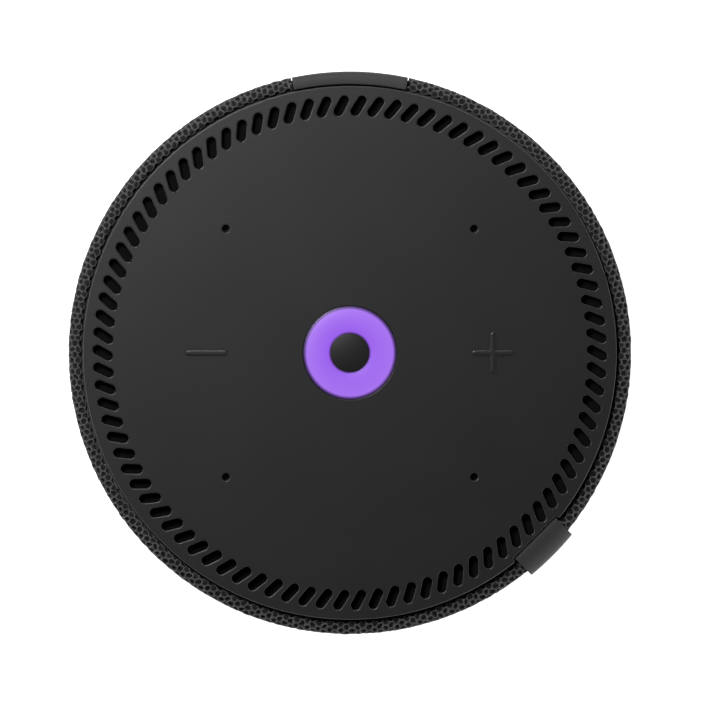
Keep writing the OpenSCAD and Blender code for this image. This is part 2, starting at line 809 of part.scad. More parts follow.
module board_chips() {
    memory = [8, 8, 1];
    color([0.07, 0.07, 0.08]) {
        for (i = [0, 1]) block([-14 + i * 11, 12, board_z1], memory);
        block([-4, -22, board_z1], [7, 7, 1]);
        block([-19, -18, board_z1], [5, 5, 0.9]);
        block([10, -8, board_z1], [5, 6, 1.1]);
    }
}

module power_coils() {
    side = 6.4;
    height = 3.2;
    gap = 1.8;
    color([0.25, 0.25, 0.27]) for (i = [0:2]) translate([-17 + i * (side + gap), 21.3, board_z1])
        difference() {
            cube([side, side, height]);
            translate([side / 2, side / 2, height - 0.2]) cylinder(r = 1.8, h = 1);
        }
}

module power_capacitors() {
    base = [6.6, 6.6, 0.8];
    color([0.7, 0.72, 0.75]) for (at = [[9.7, 26], [21.5, -4], [22, -12], [11, -24]])
        translate([at.x, at.y, board_z1]) {
            translate([-base.x / 2, -base.y / 2, 0]) cube(base);
            translate([0, 0, base.z - e]) cylinder(r = 3.1, h = 4.0);
        }
}

// Cable connectors for the touch board, the driver, the aerials and the switch board
module board_connectors() {
    ribbon_plug = [plug_w, 4.2, 2];
    lead_plug = [6, 4.4, 3.4];
    lead_slot = [4, 4.4, 4];
    lip = 0.8;
    color([0.9, 0.88, 0.8]) {
        difference() {
            block([-plug_w / 2, -board_r + 2.6, board_z1], ribbon_plug);
            block([-plug_slot_w / 2, -board_r + 2.4, board_z1 + 0.5], [plug_slot_w, 3, plug_slot_h]);
        }
        difference() {
            block([22.6, 12.6, board_z1], lead_plug);
            block([23.6, 13.6, board_z1 + 1], lead_slot);
        }
        for (x = coax_x) translate([x, coax_y, board_z1]) cylinder(r = 1.2, h = 1.2);
        difference() {
            block([-rear_w / 2 - lip, rear_y - lip, board_z1], [leg_w + 2 * lip, rear_t + 2 * lip, 2.6]);
            block([-rear_w / 2 - clear, rear_y - clear, board_z1 + 0.9],
                  [leg_w + 2 * clear, rear_t + 2 * clear, 4]);
        }
    }
}

// Rows of surface-mount resistors and capacitors
module board_small_parts() {
    across = [1.6, 0.8, 0.6];
    along = [0.8, 1.6, 0.6];
    pitch = 2.2;
    color([0.55, 0.45, 0.35]) {
        for (i = [0:7]) block([-22 + i * pitch, -12.5, board_z1], across);
        for (i = [0:5]) block([-2 + i * pitch, -12, board_z1], along);
        for (i = [0:6]) block([-26.5, -6 + i * pitch, board_z1], across);
        for (i = [0:4]) block([1.5, -6 + i * pitch, board_z1], across);
        for (i = [0:4]) block([9 + i * pitch, -19, board_z1], along);
    }
}

// Identical short screws: main board, touch board and top carrier
module small_screws() {
    color([0.6, 0.6, 0.62]) {
        around(board_screw_r, board_screw_a) driven(board_z1, board_screw_l);
        around(touch_screw_r, touch_screw_a) driven(touch_z1, board_screw_l);
        around(carrier_screw_r, carrier_screw_a) driven(carrier_z1, carrier_screw_l);
    }
}

// Flat ribbon from the touch board, down outside the speaker box, to the main board
module touch_cable() {
    w = ribbon_w;
    t = ribbon_t;
    bend = 1.5;
    top_z = touch_z0 - 1 + plug_slot_h / 2;
    low_z = board_z1 + 0.5 + plug_slot_h / 2;
    out = box_r + 1.8;
    in_top = touch_r - 2.8;
    in_low = board_r - 4.2;
    color([0.85, 0.85, 0.8]) translate([w / 2, 0, 0]) rotate([90, 0, -90]) linear_extrude(height = w) {
        translate([in_top, top_z - t / 2]) square([out - bend - in_top, t]);
        translate([in_low, low_z - t / 2]) square([out - bend - in_low, t]);
        translate([out - t / 2, low_z + bend]) square([t, top_z - low_z - 2 * bend]);
        for (s = [-1, 1]) intersection() {
            translate([out - bend, s > 0 ? top_z - bend : low_z + bend]) difference() {
                circle(r = bend + t / 2);
                circle(r = bend - t / 2);
            }
            translate([out - bend - e, s > 0 ? top_z - bend - e : low_z - bend])
                square([2 * bend, 2 * bend + e]);
        }
    }
}

// Two thin aerials on the outside of the speaker box
module antennas() {
    color([0.75, 0.5, 0.25]) for (a = [38, 220]) rotate([0, 0, a])
        rotate_extrude(angle = 22)
            translate([box_r + 0.15, aerial_z]) square([aerial_t, aerial_h]);
}

// Coaxial leads from the radio module to the aerials
module antenna_cables() {
    r = 0.55;
    run_r = box_r + 1.2;
    run_z = box_z0 - 1.2;
    function spot(a, rad, z) = [rad * cos(a), rad * sin(a), z];
    function fall(a) = [for (z = [aerial_z + 1:-2:run_z + 2]) spot(a, run_r, z)];
    color([0.1, 0.1, 0.1]) {
        wire(concat(fall(56), [spot(56, run_r - 0.8, run_z + 0.5), spot(56, 38, run_z),
            spot(56, 30, run_z), [14.2, 20.6, run_z], [coax_x[1], coax_y, run_z - 1],
            [coax_x[1], coax_y, board_z1 + 1.3]]), r);
        wire(concat(fall(236), [spot(236, run_r - 0.8, run_z + 0.5), spot(236, 38, run_z),
            spot(236, 30, run_z), [-12, -16, run_z], [-2, -10, run_z], [6.6, 4, run_z],
            [8, 14, run_z], [9.2, 18, run_z], [coax_x[0], coax_y, run_z - 1],
            [coax_x[0], coax_y, board_z1 + 1.3]]), r);
    }
}

// Red and black leads from the driver's tags to the main board
module speaker_leads() {
    exit_z = box_z0 + 6;
    color([0.7, 0.1, 0.08]) for (s = [0, 1]) {
        y = 1.4 + s * 2.2;
        y1 = gland_y - 0.8 + s * 1.6;
        wire([[magnet_r + 6.75, y, drv_z - 7.9], [25.4, y + 0.6, drv_z - 8.5],
            [27.4, y1 - 7, exit_z + 3], [28, y1 - 4, exit_z],
            [gland_x - 0.1, y1 - 1, box_z0 + 3], [gland_x, y1, box_z0 + 0.2],
            [gland_x - 0.6, y1, box_z0 - 0.7], [27.2, y1 + 0.4, box_z0 - 0.9],
            [26, y1 + 1.2, box_z0 - 1.2], [25.6, y1 + 1.4, box_z0 - 2.2],
            [25.6, y1 + 1.4, board_z1 + 1.8]], 0.6);
    }
}

// ---------------------------------------------------------------- speaker box

module radiator_hole(d) {
    rotate([90, 0, 90]) linear_extrude(height = 3 * box_wall, center = true)
        track(rad_l - 2 * rad_rim + 2 * d, rad_h - 2 * rad_rim + 2 * d);
}

module speaker_box() {
    mid = box_z0 + box_h / 2;
    boss_h = 6;
    hole_h = 4.6;                              // depth of a base screw's hole
    color([0.15, 0.15, 0.16]) difference() {
        union() {
            difference() {
                translate([0, 0, box_z0]) linear_extrude(height = box_h) box_outline(0);
                translate([0, 0, box_z0 + box_floor]) linear_extrude(height = box_h) box_outline(box_wall);
            }
            intersection() {
                around(baffle_screw_r, baffle_screw_a)
                    translate([0, 0, box_z0]) cylinder(r = small_boss_r, h = box_h);
                translate([0, 0, box_z0]) linear_extrude(height = box_h) box_outline(0);
            }
            around(base_screw_r, base_screw_a)
                translate([0, 0, box_z0]) cylinder(r = boss_r, h = boss_h);
        }
        around(baffle_screw_r, baffle_screw_a)
            translate([0, 0, box_z1 - baffle_screw_l + 1]) cylinder(r = screw_r, h = 9);
        around(base_screw_r, base_screw_a)
            translate([0, 0, box_z0 - e]) cylinder(r = screw_r + 0.02, h = hole_h);
        for (s = [-1, 1]) translate([s * (flat_x + box_wall / 2), 0, mid]) radiator_hole(-0.4);
        // Gland for the speaker leads
        translate([gland_x, gland_y, box_z0 - e]) cylinder(r = 2.2, h = box_floor + 1);
    }
}

module box_gasket() {
    color([0.1, 0.1, 0.1]) translate([0, 0, box_z1]) difference() {
        linear_extrude(height = gasket_t) box_outline(0.1);
        translate([0, 0, -e]) linear_extrude(height = 2) box_outline(box_wall - 0.1);
    }
}

module baffle() {
    color([0.15, 0.15, 0.16]) translate([0, 0, baffle_z0]) difference() {
        linear_extrude(height = baffle_t) box_outline(0);
        translate([0, 0, -e]) {
            cylinder(r = surround_ro + 0.9, h = 9);
            around(baffle_screw_r, baffle_screw_a) cylinder(r = pass_r, h = 9);
            around(driver_screw_r, driver_screw_a) cylinder(r = screw_r, h = 9);
        }
    }
}

// Identical screws: six for the baffle, four for the driver
module speaker_screws() {
    color([0.6, 0.6, 0.62]) {
        around(baffle_screw_r, baffle_screw_a) driven(baffle_z1, baffle_screw_l);
        around(driver_screw_r, driver_screw_a) driven(drv_z, driver_screw_l);
    }
}

// ---------------------------------------------------------------- driver

module driver_basket() {
    arms = 6;
    rim_r = surround_ro - 0.8;
    seat_r = magnet_r + 2.6;
    web_z = -9;
    arm_t = 1.2;
    arm_h = -spider_z - driver_flange_t - 1.1;
    color([0.3, 0.3, 0.32]) translate([0, 0, drv_z]) difference() {
        union() {
            rotate_extrude() {
                translate([rim_r, -driver_flange_t]) square([driver_r - rim_r, driver_flange_t]);
                polygon([[rim_r, -driver_flange_t + e], [surround_ro + 0.5, -driver_flange_t + e],
                         [seat_r, spider_z], [seat_r - arm_t, spider_z]]);
                translate([spider_seat_r + 0.3, spider_z - 1]) square([seat_r - spider_seat_r - 0.3, 1 + e]);
                translate([spider_seat_r + 0.3, web_z - e]) square([arm_t, spider_z - web_z]);
                translate([gap_ro + 0.5, -basket_d]) square([magnet_r - gap_ro - 0.3, basket_d + web_z]);
            }
            around(driver_screw_r, driver_screw_a) translate([0, 0, -driver_flange_t])
                cylinder(r = 3, h = driver_flange_t);
            // Terminal plate
            block([magnet_r + 1.5, -1, tags_z], [5, 6, 1]);
        }
        around(driver_screw_r, driver_screw_a) translate([0, 0, -2]) cylinder(r = screw_r + 0.1, h = 3);
        for (i = [0:arms - 1]) rotate([0, 0, 360 / arms * (i + 0.5)])
            translate([magnet_r + 0.4, -5, spider_z + 0.6]) cube([8, 10, arm_h]);
    }
}

module driver_top_plate() {
    color([0.6, 0.6, 0.62]) translate([0, 0, drv_z - basket_d - plate_t]) ring(gap_ro, magnet_r, plate_t);
}

module driver_magnet() {
    color([0.35, 0.35, 0.37]) translate([0, 0, drv_z - basket_d - plate_t - magnet_t])
        ring(gap_ro + 0.6, magnet_r, magnet_t);
}

module driver_yoke() {
    z = drv_z - basket_d - plate_t - magnet_t - yoke_t;
    color([0.6, 0.6, 0.62]) difference() {
        translate([0, 0, z]) union() {
            cylinder(r = magnet_r, h = yoke_t);
            cylinder(r = pole_r, h = yoke_t + magnet_t + plate_t + 0.2);
        }
        translate([0, 0, z - e]) cylinder(r = 2.5, h = 20);
    }
}

module voice_coil() {
    wind_h = 5;
    mid = drv_z - basket_d - plate_t / 2;
    color([0.75, 0.4, 0.2]) {
        translate([0, 0, mid - wind_h / 2]) ring(coil_r + 0.2 - e, coil_r + 0.6, wind_h);
        translate([0, 0, mid - wind_h / 2 - 0.2])
            ring(coil_r - 0.1, coil_r + 0.2, drv_z + cone_neck_z + 0.6 - mid + wind_h / 2 + 0.2);
    }
}

module driver_cone() {
    t = 0.5;
    neck = coil_r + 0.25;
    color([0.12, 0.12, 0.13]) translate([0, 0, drv_z]) rotate_extrude()
        polygon([[neck, cone_neck_z], [neck, cone_neck_z + t + 0.3], [cone_ro - 0.4, cone_z],
                 [cone_ro + 0.6, cone_z], [cone_ro + 0.6, cone_z - t], [cone_ro - 0.2, cone_z - t]]);
}

// Domed cap glued over the coil's mouth
module dust_cap() {
    rise = 2.6;
    rim = coil_r + 0.9;
    big = (rim * rim + rise * rise) / (2 * rise);
    seat_z = cone_neck_z + 1.25;
    color([0.1, 0.1, 0.11]) translate([0, 0, drv_z + seat_z]) rotate_extrude() difference() {
        intersection() {
            translate([0, rise - big]) circle(r = big);
            square([rim + 1, rise + 1]);
        }
        translate([0, rise - big]) circle(r = big - 0.4);
    }
}

// Half-roll rubber edge between the cone and the basket
module driver_surround() {
    mid = (surround_ro + cone_ro) / 2;
    half = (surround_ro - cone_ro) / 2;
    t = 0.4;
    color([0.08, 0.08, 0.08]) translate([0, 0, drv_z]) rotate_extrude() {
        intersection() {
            difference() {
                translate([mid, 0]) circle(r = half);
                translate([mid, 0]) circle(r = half - t);
            }
            translate([mid - half, 0]) square([2 * half, half]);
        }
        translate([mid + half - t, 0]) square([1.6, t]);
        translate([cone_ro - 1, cone_z + e]) square([1.2, t - cone_z - e]);
    }
}

// Corrugated centring disc between the coil and the basket
module driver_spider() {
    ri = coil_r + 0.25;
    cuff = 0.8;
    ro = spider_seat_r + 1.4;
    waves = 3;
    w = (spider_seat_r - ri - cuff) / waves / 2;
    t = 0.3;
    color([0.75, 0.6, 0.3]) translate([0, 0, drv_z + spider_z + t / 2 + 2 * e]) rotate_extrude() {
        translate([ri, -t / 2]) square([cuff, t]);
        for (i = [0:2 * waves - 1]) intersection() {
            translate([ri + cuff + w * (i + 0.5), 0]) difference() {
                circle(r = w / 2 + t / 2);
                circle(r = w / 2 - t / 2);
            }
            translate([ri, i % 2 == 0 ? -e : -9 + e]) square([ro + 1.6 - ri, 9]);
        }
        translate([spider_seat_r - t / 2, -t / 2]) square([ro - spider_seat_r, t]);
    }
}

// ---------------------------------------------------------------- passive radiators

// Places a radiator part, drawn flat with +Z outwards, on the flat side s
module on_side(s) {
    translate([s * box_flat, 0, box_z0 + box_h / 2]) rotate([90, 0, s * 90]) children();
}

module radiator_frames() {
    color([0.2, 0.2, 0.21]) for (s = [-1, 1]) on_side(s) difference() {
        linear_extrude(height = rad_t) track(rad_l, rad_h);
        translate([0, 0, -e]) linear_extrude(height = 9) track(rad_l - 2 * rad_rim, rad_h - 2 * rad_rim);
    }
}

// Half-roll edge round a radiator's plate
module radiator_roll(s) {
    t = 0.4;
    half = rad_roll / 2;
    straight = plate_l - plate_h;
    mid = plate_h / 2 + half;
    module arch(in) {
        intersection() {
            difference() {
                circle(r = half + t / 2 - in);
                circle(r = half - t / 2 + in);
            }
            translate([-half - t, 0]) square([2 * half + 2 * t, half + t]);
        }
    }
    on_side(s) translate([0, 0, rad_t]) {
        for (d = [-1, 1]) {
            translate([d * straight / 2, 0, 0]) rotate([0, 0, d * -90])
                rotate_extrude(angle = 180) translate([mid, 0]) arch(0);
            translate([0, d * mid, 0]) rotate([90, 0, 90])
                linear_extrude(height = straight + 0.4, center = true) arch(e);
        }
    }
}

module radiator_plate(s) {
    on_side(s) translate([0, 0, rad_t - rad_plate_t])
        linear_extrude(height = rad_plate_t) track(plate_l + 0.3, plate_h + 0.3);
}

module radiator_weight(s) {
    on_side(s) translate([0, 0, rad_t - rad_plate_t - rad_weight_t])
        linear_extrude(height = rad_weight_t) track(plate_l * 0.6, plate_h * 0.55);
}

module left_radiator_surround() { color([0.08, 0.08, 0.08]) radiator_roll(-1); }
module right_radiator_surround() { color([0.08, 0.08, 0.08]) radiator_roll(1); }
module left_radiator_plate() { color([0.14, 0.14, 0.15]) radiator_plate(-1); }
module right_radiator_plate() { color([0.14, 0.14, 0.15]) radiator_plate(1); }
module left_radiator_weight() { color([0.6, 0.6, 0.62]) radiator_weight(-1); }
module right_radiator_weight() { color([0.6, 0.6, 0.62]) radiator_weight(1); }

// ---------------------------------------------------------------- what is drawn

top_panel();
light_window();
window_mask();
slot_mesh();
touch_film();
light_shroud();
ring_leds();
touch_board();
microphones();
mic_gaskets();
top_carrier();
sound_deflector();
fabric_sleeve();
side_frame();
rear_panel();
side_tag();
mute_slider();
mute_switch();
rear_board();
usb_socket_shell();
usb_socket_tongue();
base_cover();
foot_ring();
base_screws();
main_board();
processor_shield();
thermal_pad();
heat_spreader();
radio_module();
board_chips();
power_coils();
power_capacitors();
board_connectors();
board_small_parts();
small_screws();
touch_cable();
antennas();
antenna_cables();
speaker_leads();
speaker_box();
box_gasket();
baffle();
speaker_screws();
driver_basket();
driver_magnet();
driver_top_plate();
driver_yoke();
voice_coil();
driver_cone();
dust_cap();
driver_surround();
driver_spider();
radiator_frames();
left_radiator_surround();
left_radiator_plate();
left_radiator_weight();
right_radiator_surround();
right_radiator_plate();
right_radiator_weight();
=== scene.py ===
"""Smart home hub: a round, fabric-sided speaker puck with a touch panel and a lit ring.

The working model is loaded as a fixed frame. This file gives every piece its finish, and
builds the outer pieces again with the rounded edges, knit and ribs that the solids leave out.
"""

import json
import math

import bmesh
import bpy
from bpy.props import FloatProperty, FloatVectorProperty, IntProperty, PointerProperty
from mathutils import Matrix, Vector


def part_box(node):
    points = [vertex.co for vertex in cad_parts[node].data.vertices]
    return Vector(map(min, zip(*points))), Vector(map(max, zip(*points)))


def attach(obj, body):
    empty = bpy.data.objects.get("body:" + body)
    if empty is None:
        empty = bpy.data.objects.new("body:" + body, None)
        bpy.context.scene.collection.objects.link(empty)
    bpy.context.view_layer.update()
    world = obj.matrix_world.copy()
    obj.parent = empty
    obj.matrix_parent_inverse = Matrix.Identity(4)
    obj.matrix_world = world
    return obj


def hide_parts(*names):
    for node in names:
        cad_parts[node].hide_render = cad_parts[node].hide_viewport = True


bl_info = {
    "name": "Smart home hub",
    "version": (1, 0, 0),
    "blender": (4, 5, 0),
    "location": "3D View > Sidebar > Hub",
    "description": "Builds the looks of a round, fabric-sided smart home hub",
    "category": "Object",
}

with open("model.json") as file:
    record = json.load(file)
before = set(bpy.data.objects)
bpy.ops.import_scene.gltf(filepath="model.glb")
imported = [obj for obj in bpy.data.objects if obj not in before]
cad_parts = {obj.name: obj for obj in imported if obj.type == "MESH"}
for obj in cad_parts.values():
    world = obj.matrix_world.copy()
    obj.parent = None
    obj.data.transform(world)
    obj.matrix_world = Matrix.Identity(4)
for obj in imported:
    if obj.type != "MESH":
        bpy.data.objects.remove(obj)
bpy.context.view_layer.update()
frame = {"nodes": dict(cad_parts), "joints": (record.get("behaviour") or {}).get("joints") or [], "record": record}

MM = 0.001
QUARTER = math.pi / 2
TURN = 2 * math.pi
HUB = "hub"


def low(node, axis):
    """A node's lowest place along an axis, rounded past its facets."""
    return round(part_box(node)[0]["xyz".index(axis)], 5)


def high(node, axis):
    """A node's highest place along an axis, rounded past its facets."""
    return round(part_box(node)[1]["xyz".index(axis)], 5)


# Places that the outer pieces share, in metres, from the frame
PANEL_R = high("top_panel", "x")
FLANGE_T, FLANGE_W = 0.6 * MM, 0.9 * MM  # the light window's flange under the panel
PANEL_LOW = round(low("light_window", "z") + FLANGE_T, 5)
PANEL_TOP = high("light_window", "z")
MARK_TOP = high("top_panel", "z")
WINDOW_R = round(high("light_window", "x") - FLANGE_W, 5)
SPOT_R = high("window_mask", "x")
BODY_R = 49 * MM
SEAM_GAP = 0.35 * MM
LIP_R = round(PANEL_R + SEAM_GAP, 5)
SHOULDER_R = 2.6 * MM
TAG_T = 1.0 * MM
SHOULDER_Z = round(PANEL_TOP - TAG_T - SHOULDER_R, 5)
HEM_R = 46.7 * MM
HEM_Z = low("fabric_sleeve", "z")
HEM_ROUND = 1.6 * MM
FABRIC_T = 1.2 * MM
STRIP_HALF = math.asin(high("rear_panel", "x") / BODY_R)
STRIP_TOP = high("rear_panel", "z")
SOCKET_Z = (low("usb_socket_shell", "z") + high("usb_socket_shell", "z")) / 2
SLIDER_Z = (low("mute_slider", "z") + high("mute_slider", "z")) / 2
TAG_ANGLE = math.radians(-45)
MUTE_TRAVEL = next(
    joint["range_m"][1] for joint in frame["joints"] if joint["name"] == "mute_travel"
)

SPOT_DEPTH = 0.3 * MM  # the dark spot's seat below the panel's face
ALMOST_HALF = 0.4995  # a slot's ends are just short of half circles
MARK_BEVEL = ((0.0, 0.27), (0.2, 0.68), (0.42, 0.84), (1.0, 1.0))  # inset and height, as shares
KNIT_GAP = 0.18  # degrees between the knit and the rear strip
KNIT_TUCK = 0.9 * MM  # how deep the knit goes in beside the strip
VIEW_CENTRE = (0.98 * MM, -0.47 * MM)  # the place under the camera


# ---------------------------------------------------------------- node maths


class Wire:
    """A node's output that takes part in sums, so that node maths reads as maths."""

    def __init__(self, tree, socket):
        self.tree = tree
        self.socket = socket

    def _maths(self, operation, first, second=None):
        maths = self.tree.nodes.new("ShaderNodeMath")
        maths.operation = operation
        plug(self.tree, maths.inputs[0], first)
        if second is not None:
            plug(self.tree, maths.inputs[1], second)
        return Wire(self.tree, maths.outputs[0])

    def __add__(self, other):
        return self._maths("ADD", self, other)

    def __radd__(self, other):
        return self._maths("ADD", other, self)

    def __sub__(self, other):
        return self._maths("SUBTRACT", self, other)

    def __rsub__(self, other):
        return self._maths("SUBTRACT", other, self)

    def __mul__(self, other):
        return self._maths("MULTIPLY", self, other)

    def __rmul__(self, other):
        return self._maths("MULTIPLY", other, self)

    def __truediv__(self, other):
        return self._maths("DIVIDE", self, other)

    def __rtruediv__(self, other):
        return self._maths("DIVIDE", other, self)

    def __mod__(self, other):
        return self._maths("FLOORED_MODULO", self, other)

    def floor(self):
        return self._maths("FLOOR", self)

    def sin(self):
        return self._maths("SINE", self)

    def cos(self):
        return self._maths("COSINE", self)

    def at_least(self, other):
        return self._maths("MAXIMUM", self, other)

    def at_most(self, other):
        return self._maths("MINIMUM", self, other)

    def between(self, least, most):
        return self.at_least(least).at_most(most)

    def beside(self, name):
        """Another output of the same node."""
        return Wire(self.tree, self.socket.node.outputs[name])


def plug(tree, socket, value):
    """Links a wire to a socket, or sets the socket's own value."""
    if isinstance(value, Wire):
        tree.links.new(value.socket, socket)
    else:
        socket.default_value = value


class Tree:
    """A node tree in the making."""

    def __init__(self, tree):
        self.tree = tree

    def node(self, kind, values=None, out=0, **settings):
        """Adds a node: its settings first, then what its sockets take."""
        made = self.tree.nodes.new(kind)
        for key, value in settings.items():
            setattr(made, key, value)
        for key, value in (values or {}).items():
            plug(self.tree, made.inputs[key], value)
        return Wire(self.tree, made.outputs[out])

    def joined(self, *parts):
        """One geometry from several."""
        join = self.tree.nodes.new("GeometryNodeJoinGeometry")
        for part in reversed(parts):
            self.tree.links.new(part.socket, join.inputs[0])
        return Wire(self.tree, join.outputs[0])

    def place(self, x, y, z):
        return self.node("ShaderNodeCombineXYZ", {"X": x, "Y": y, "Z": z})

    def parts(self, vector):
        """A vector's three numbers."""
        x = self.node("ShaderNodeSeparateXYZ", {"Vector": vector}, out="X")
        return x, x.beside("Y"), x.beside("Z")


class Pattern(Tree):
    """A Geometry Nodes tree with named sizes, which makes what repeats."""

    KINDS = {float: "NodeSocketFloat", int: "NodeSocketInt"}

    def __init__(self, name, sizes):
        super().__init__(bpy.data.node_groups.new(name, "GeometryNodeTree"))
        face = self.tree.interface
        face.new_socket("Geometry", in_out="INPUT", socket_type="NodeSocketGeometry")
        face.new_socket("Geometry", in_out="OUTPUT", socket_type="NodeSocketGeometry")
        self.sizes = sizes
        self.named = {}
        for key, value in sizes.items():
            self.named[key] = face.new_socket(
                key, in_out="INPUT", socket_type=self.KINDS[type(value)]
            )
        self.given = self.tree.nodes.new("NodeGroupInput")
        self.base = Wire(self.tree, self.given.outputs["Geometry"])

    def size(self, key):
        return Wire(self.tree, self.given.outputs[key])

    def swept(self, curve, profile):
        return self.node("GeometryNodeCurveToMesh", {"Curve": curve, "Profile Curve": profile})

    def moved(self, geometry, place):
        return self.node("GeometryNodeTransform", {"Geometry": geometry, "Translation": place})

    def shaded(self, geometry, smooth):
        values = {"Geometry": geometry, "Shade Smooth": smooth}
        return self.node("GeometryNodeSetShadeSmooth", values)

    def merged(self, geometry, distance):
        values = {"Geometry": geometry, "Distance": distance}
        return self.node("GeometryNodeMergeByDistance", values)

    def seats(self, count, place):
        """Points, each at a place worked out from its number."""
        return self.node("GeometryNodePoints", {"Count": count, "Position": place})

    def set_on(self, seats, piece, turn=(0, 0, 0)):
        """A copy of a piece on every seat."""
        values = {"Points": seats, "Instance": piece, "Rotation": turn}
        return self.node("GeometryNodeInstanceOnPoints", values)

    def grow(self, name, base, geometry, finish):
        """Finishes the tree, runs it on a base and returns the plain mesh object."""
        real = self.node("GeometryNodeRealizeInstances", {"Geometry": geometry})
        done = self.node("GeometryNodeSetMaterial", {"Geometry": real, "Material": finish})
        end = self.tree.nodes.new("NodeGroupOutput")
        self.tree.links.new(done.socket, end.inputs[0])
        source = placed(name + "_pattern", base)
        modifier = source.modifiers.new("pattern", "NODES")
        modifier.node_group = self.tree
        for key, value in self.sizes.items():
            modifier[self.named[key].identifier] = value
        return settled(source, name)


# ---------------------------------------------------------------- mesh helpers


def placed(name, data):
    """A new object in the scene."""
    piece = bpy.data.objects.new(name, data)
    bpy.context.collection.objects.link(piece)
    return piece


def settled(source, name):
    """A plain mesh object from an object with modifiers, which is removed."""
    bpy.context.view_layer.update()
    seen = source.evaluated_get(bpy.context.evaluated_depsgraph_get())
    mesh = bpy.data.meshes.new_from_object(seen)
    mesh.name = name
    bpy.data.objects.remove(source)
    return placed(name, mesh)


def from_bmesh(name, shape, smooth=True):
    """An object from a bmesh, with its doubles merged and its faces outwards."""
    bmesh.ops.remove_doubles(shape, verts=shape.verts, dist=1e-7)
    bmesh.ops.recalc_face_normals(shape, faces=shape.faces)
    for face in shape.faces:
        face.smooth = smooth
    mesh = bpy.data.meshes.new(name)
    shape.to_mesh(mesh)
    shape.free()
    return placed(name, mesh)


def renewed(piece):
    """The piece with its modifiers worked into its mesh, under its own name."""
    name = piece.name
    piece.name = name + "_plain"
    return settled(piece, name)


def rounded(piece, width, segments=3, angle=35):
    """The piece with its sharp edges rounded."""
    bevel = piece.modifiers.new("rounding", "BEVEL")
    bevel.width = width
    bevel.segments = segments
    bevel.limit_method = "ANGLE"
    bevel.angle_limit = math.radians(angle)
    bevel.harden_normals = False
    return renewed(piece)


def combined(operation, piece, *tools):
    """The piece with the tools' shapes cut from it (DIFFERENCE) or added to it (UNION)."""
    for tool in tools:
        boolean = piece.modifiers.new("combined", "BOOLEAN")
        boolean.operation = operation
        boolean.solver = "EXACT"
        boolean.object = tool
    done = renewed(piece)
    for tool in tools:
        bpy.data.objects.remove(tool)
    return done


def stitched(shape, rings, flipped=False):
    """Faces between each closed ring of corners and the next."""
    for one, two in zip(rings, rings[1:]):
        for k in range(len(one)):
            n = (k + 1) % len(one)
            along, back = (two[k], one[n]) if flipped else (one[n], two[k])
            shape.faces.new((one[k], along, two[n], back))


def capped(shape, rings):
    """The rings stitched together, with the first and the last filled."""
    stitched(shape, rings, flipped=True)
    shape.faces.new(rings[0])
    shape.faces.new(list(reversed(rings[-1])))


def arc(centre, radius, start, end, steps):
    """Points on an arc, angles in radians."""
    turns = [start + (end - start) * i / steps for i in range(steps + 1)]
    x, y = centre
    return [(x + radius * math.cos(turn), y + radius * math.sin(turn)) for turn in turns]


def filleted(corners, radius, steps=5):
    """A closed outline with its corners rounded. Each corner may carry its own radius."""
    points = []
    count = len(corners)
    for i, corner in enumerate(corners):
        here = Vector(corner[:2])
        before = (Vector(corners[i - 1][:2]) - here).normalized()
        after = (Vector(corners[(i + 1) % count][:2]) - here).normalized()
        bend = corner[2] if len(corner) > 2 else radius
        turn = before.angle(after)
        if bend <= 0 or turn > math.radians(179):
            points.append(tuple(here))
            continue
        reach = bend / math.tan(turn / 2)
        hub = here + (before + after).normalized() * (bend / math.sin(turn / 2))
        first = here + before * reach - hub
        sweep = first.angle_signed(here + after * reach - hub)
        for k in range(steps + 1):
            spoke = first.copy()
            spoke.rotate(Matrix.Rotation(-sweep * k / steps, 2))
            points.append(tuple(hub + spoke))
    return points


def ring_at(shape, section, turn):
    """A section's corners, as radius and height, set at an angle about Z."""
    x, y = math.cos(turn), math.sin(turn)
    return [shape.verts.new((r * x, r * y, z)) for r, z in section]


def revolved(name, section, start=0.0, end=TURN, steps=192):
    """A closed section, as radius and height, turned about Z and capped if open."""
    shape = bmesh.new()
    whole = abs(end - start - TURN) < 1e-9
    rings = [
        ring_at(shape, section, start + (end - start) * i / steps)
        for i in range(steps if whole else steps + 1)
    ]
    if whole:
        stitched(shape, rings + rings[:1], flipped=True)
    else:
        capped(shape, rings)
    return from_bmesh(name, shape)


def turned(name, section, steps=192):
    """A section whose ends lie on the axis, turned about Z into a closed shape."""
    shape = bmesh.new()
    tip, foot = (shape.verts.new((0, 0, z)) for z in (section[0][1], section[-1][1]))
    rings = [ring_at(shape, section[1:-1], TURN * i / steps) for i in range(steps)]
    for i, one in enumerate(rings):
        two = rings[(i + 1) % steps]
        shape.faces.new((tip, one[0], two[0]))
        for a, b, c, d in zip(one, one[1:], two[1:], two):
            shape.faces.new((a, b, c, d))
        shape.faces.new((foot, two[-1], one[-1]))
    return from_bmesh(name, shape)


def prism(name, outline, lift, place):
    """An outline pushed along Z by lift, then put in place by a matrix."""
    shape = bmesh.new()
    floor, roof = ([shape.verts.new((x, y, z)) for x, y in outline] for z in (0, lift))
    shape.faces.new(list(reversed(floor)))
    shape.faces.new(roof)
    stitched(shape, [floor, roof])
    shape.transform(place)
    return from_bmesh(name, shape, smooth=False)


def track(length, width, steps=10):
    """A flat racetrack's outline."""
    half = (length - width) / 2
    right = arc((half, 0), width / 2, -QUARTER, QUARTER, steps)
    left = arc((-half, 0), width / 2, QUARTER, 3 * QUARTER, steps)
    return right + left


def brick(width, height):
    """A flat rectangle's outline."""
    w, h = width / 2, height / 2
    return [(w, -h), (w, h), (-w, h), (-w, -h)]


def facing_rear(y, z, x=0.0):
    """Turns an outline drawn flat to stand upright, pushed towards the rear."""
    return Matrix.Translation((x, y, z)) @ Matrix.Rotation(-QUARTER, 4, "X")


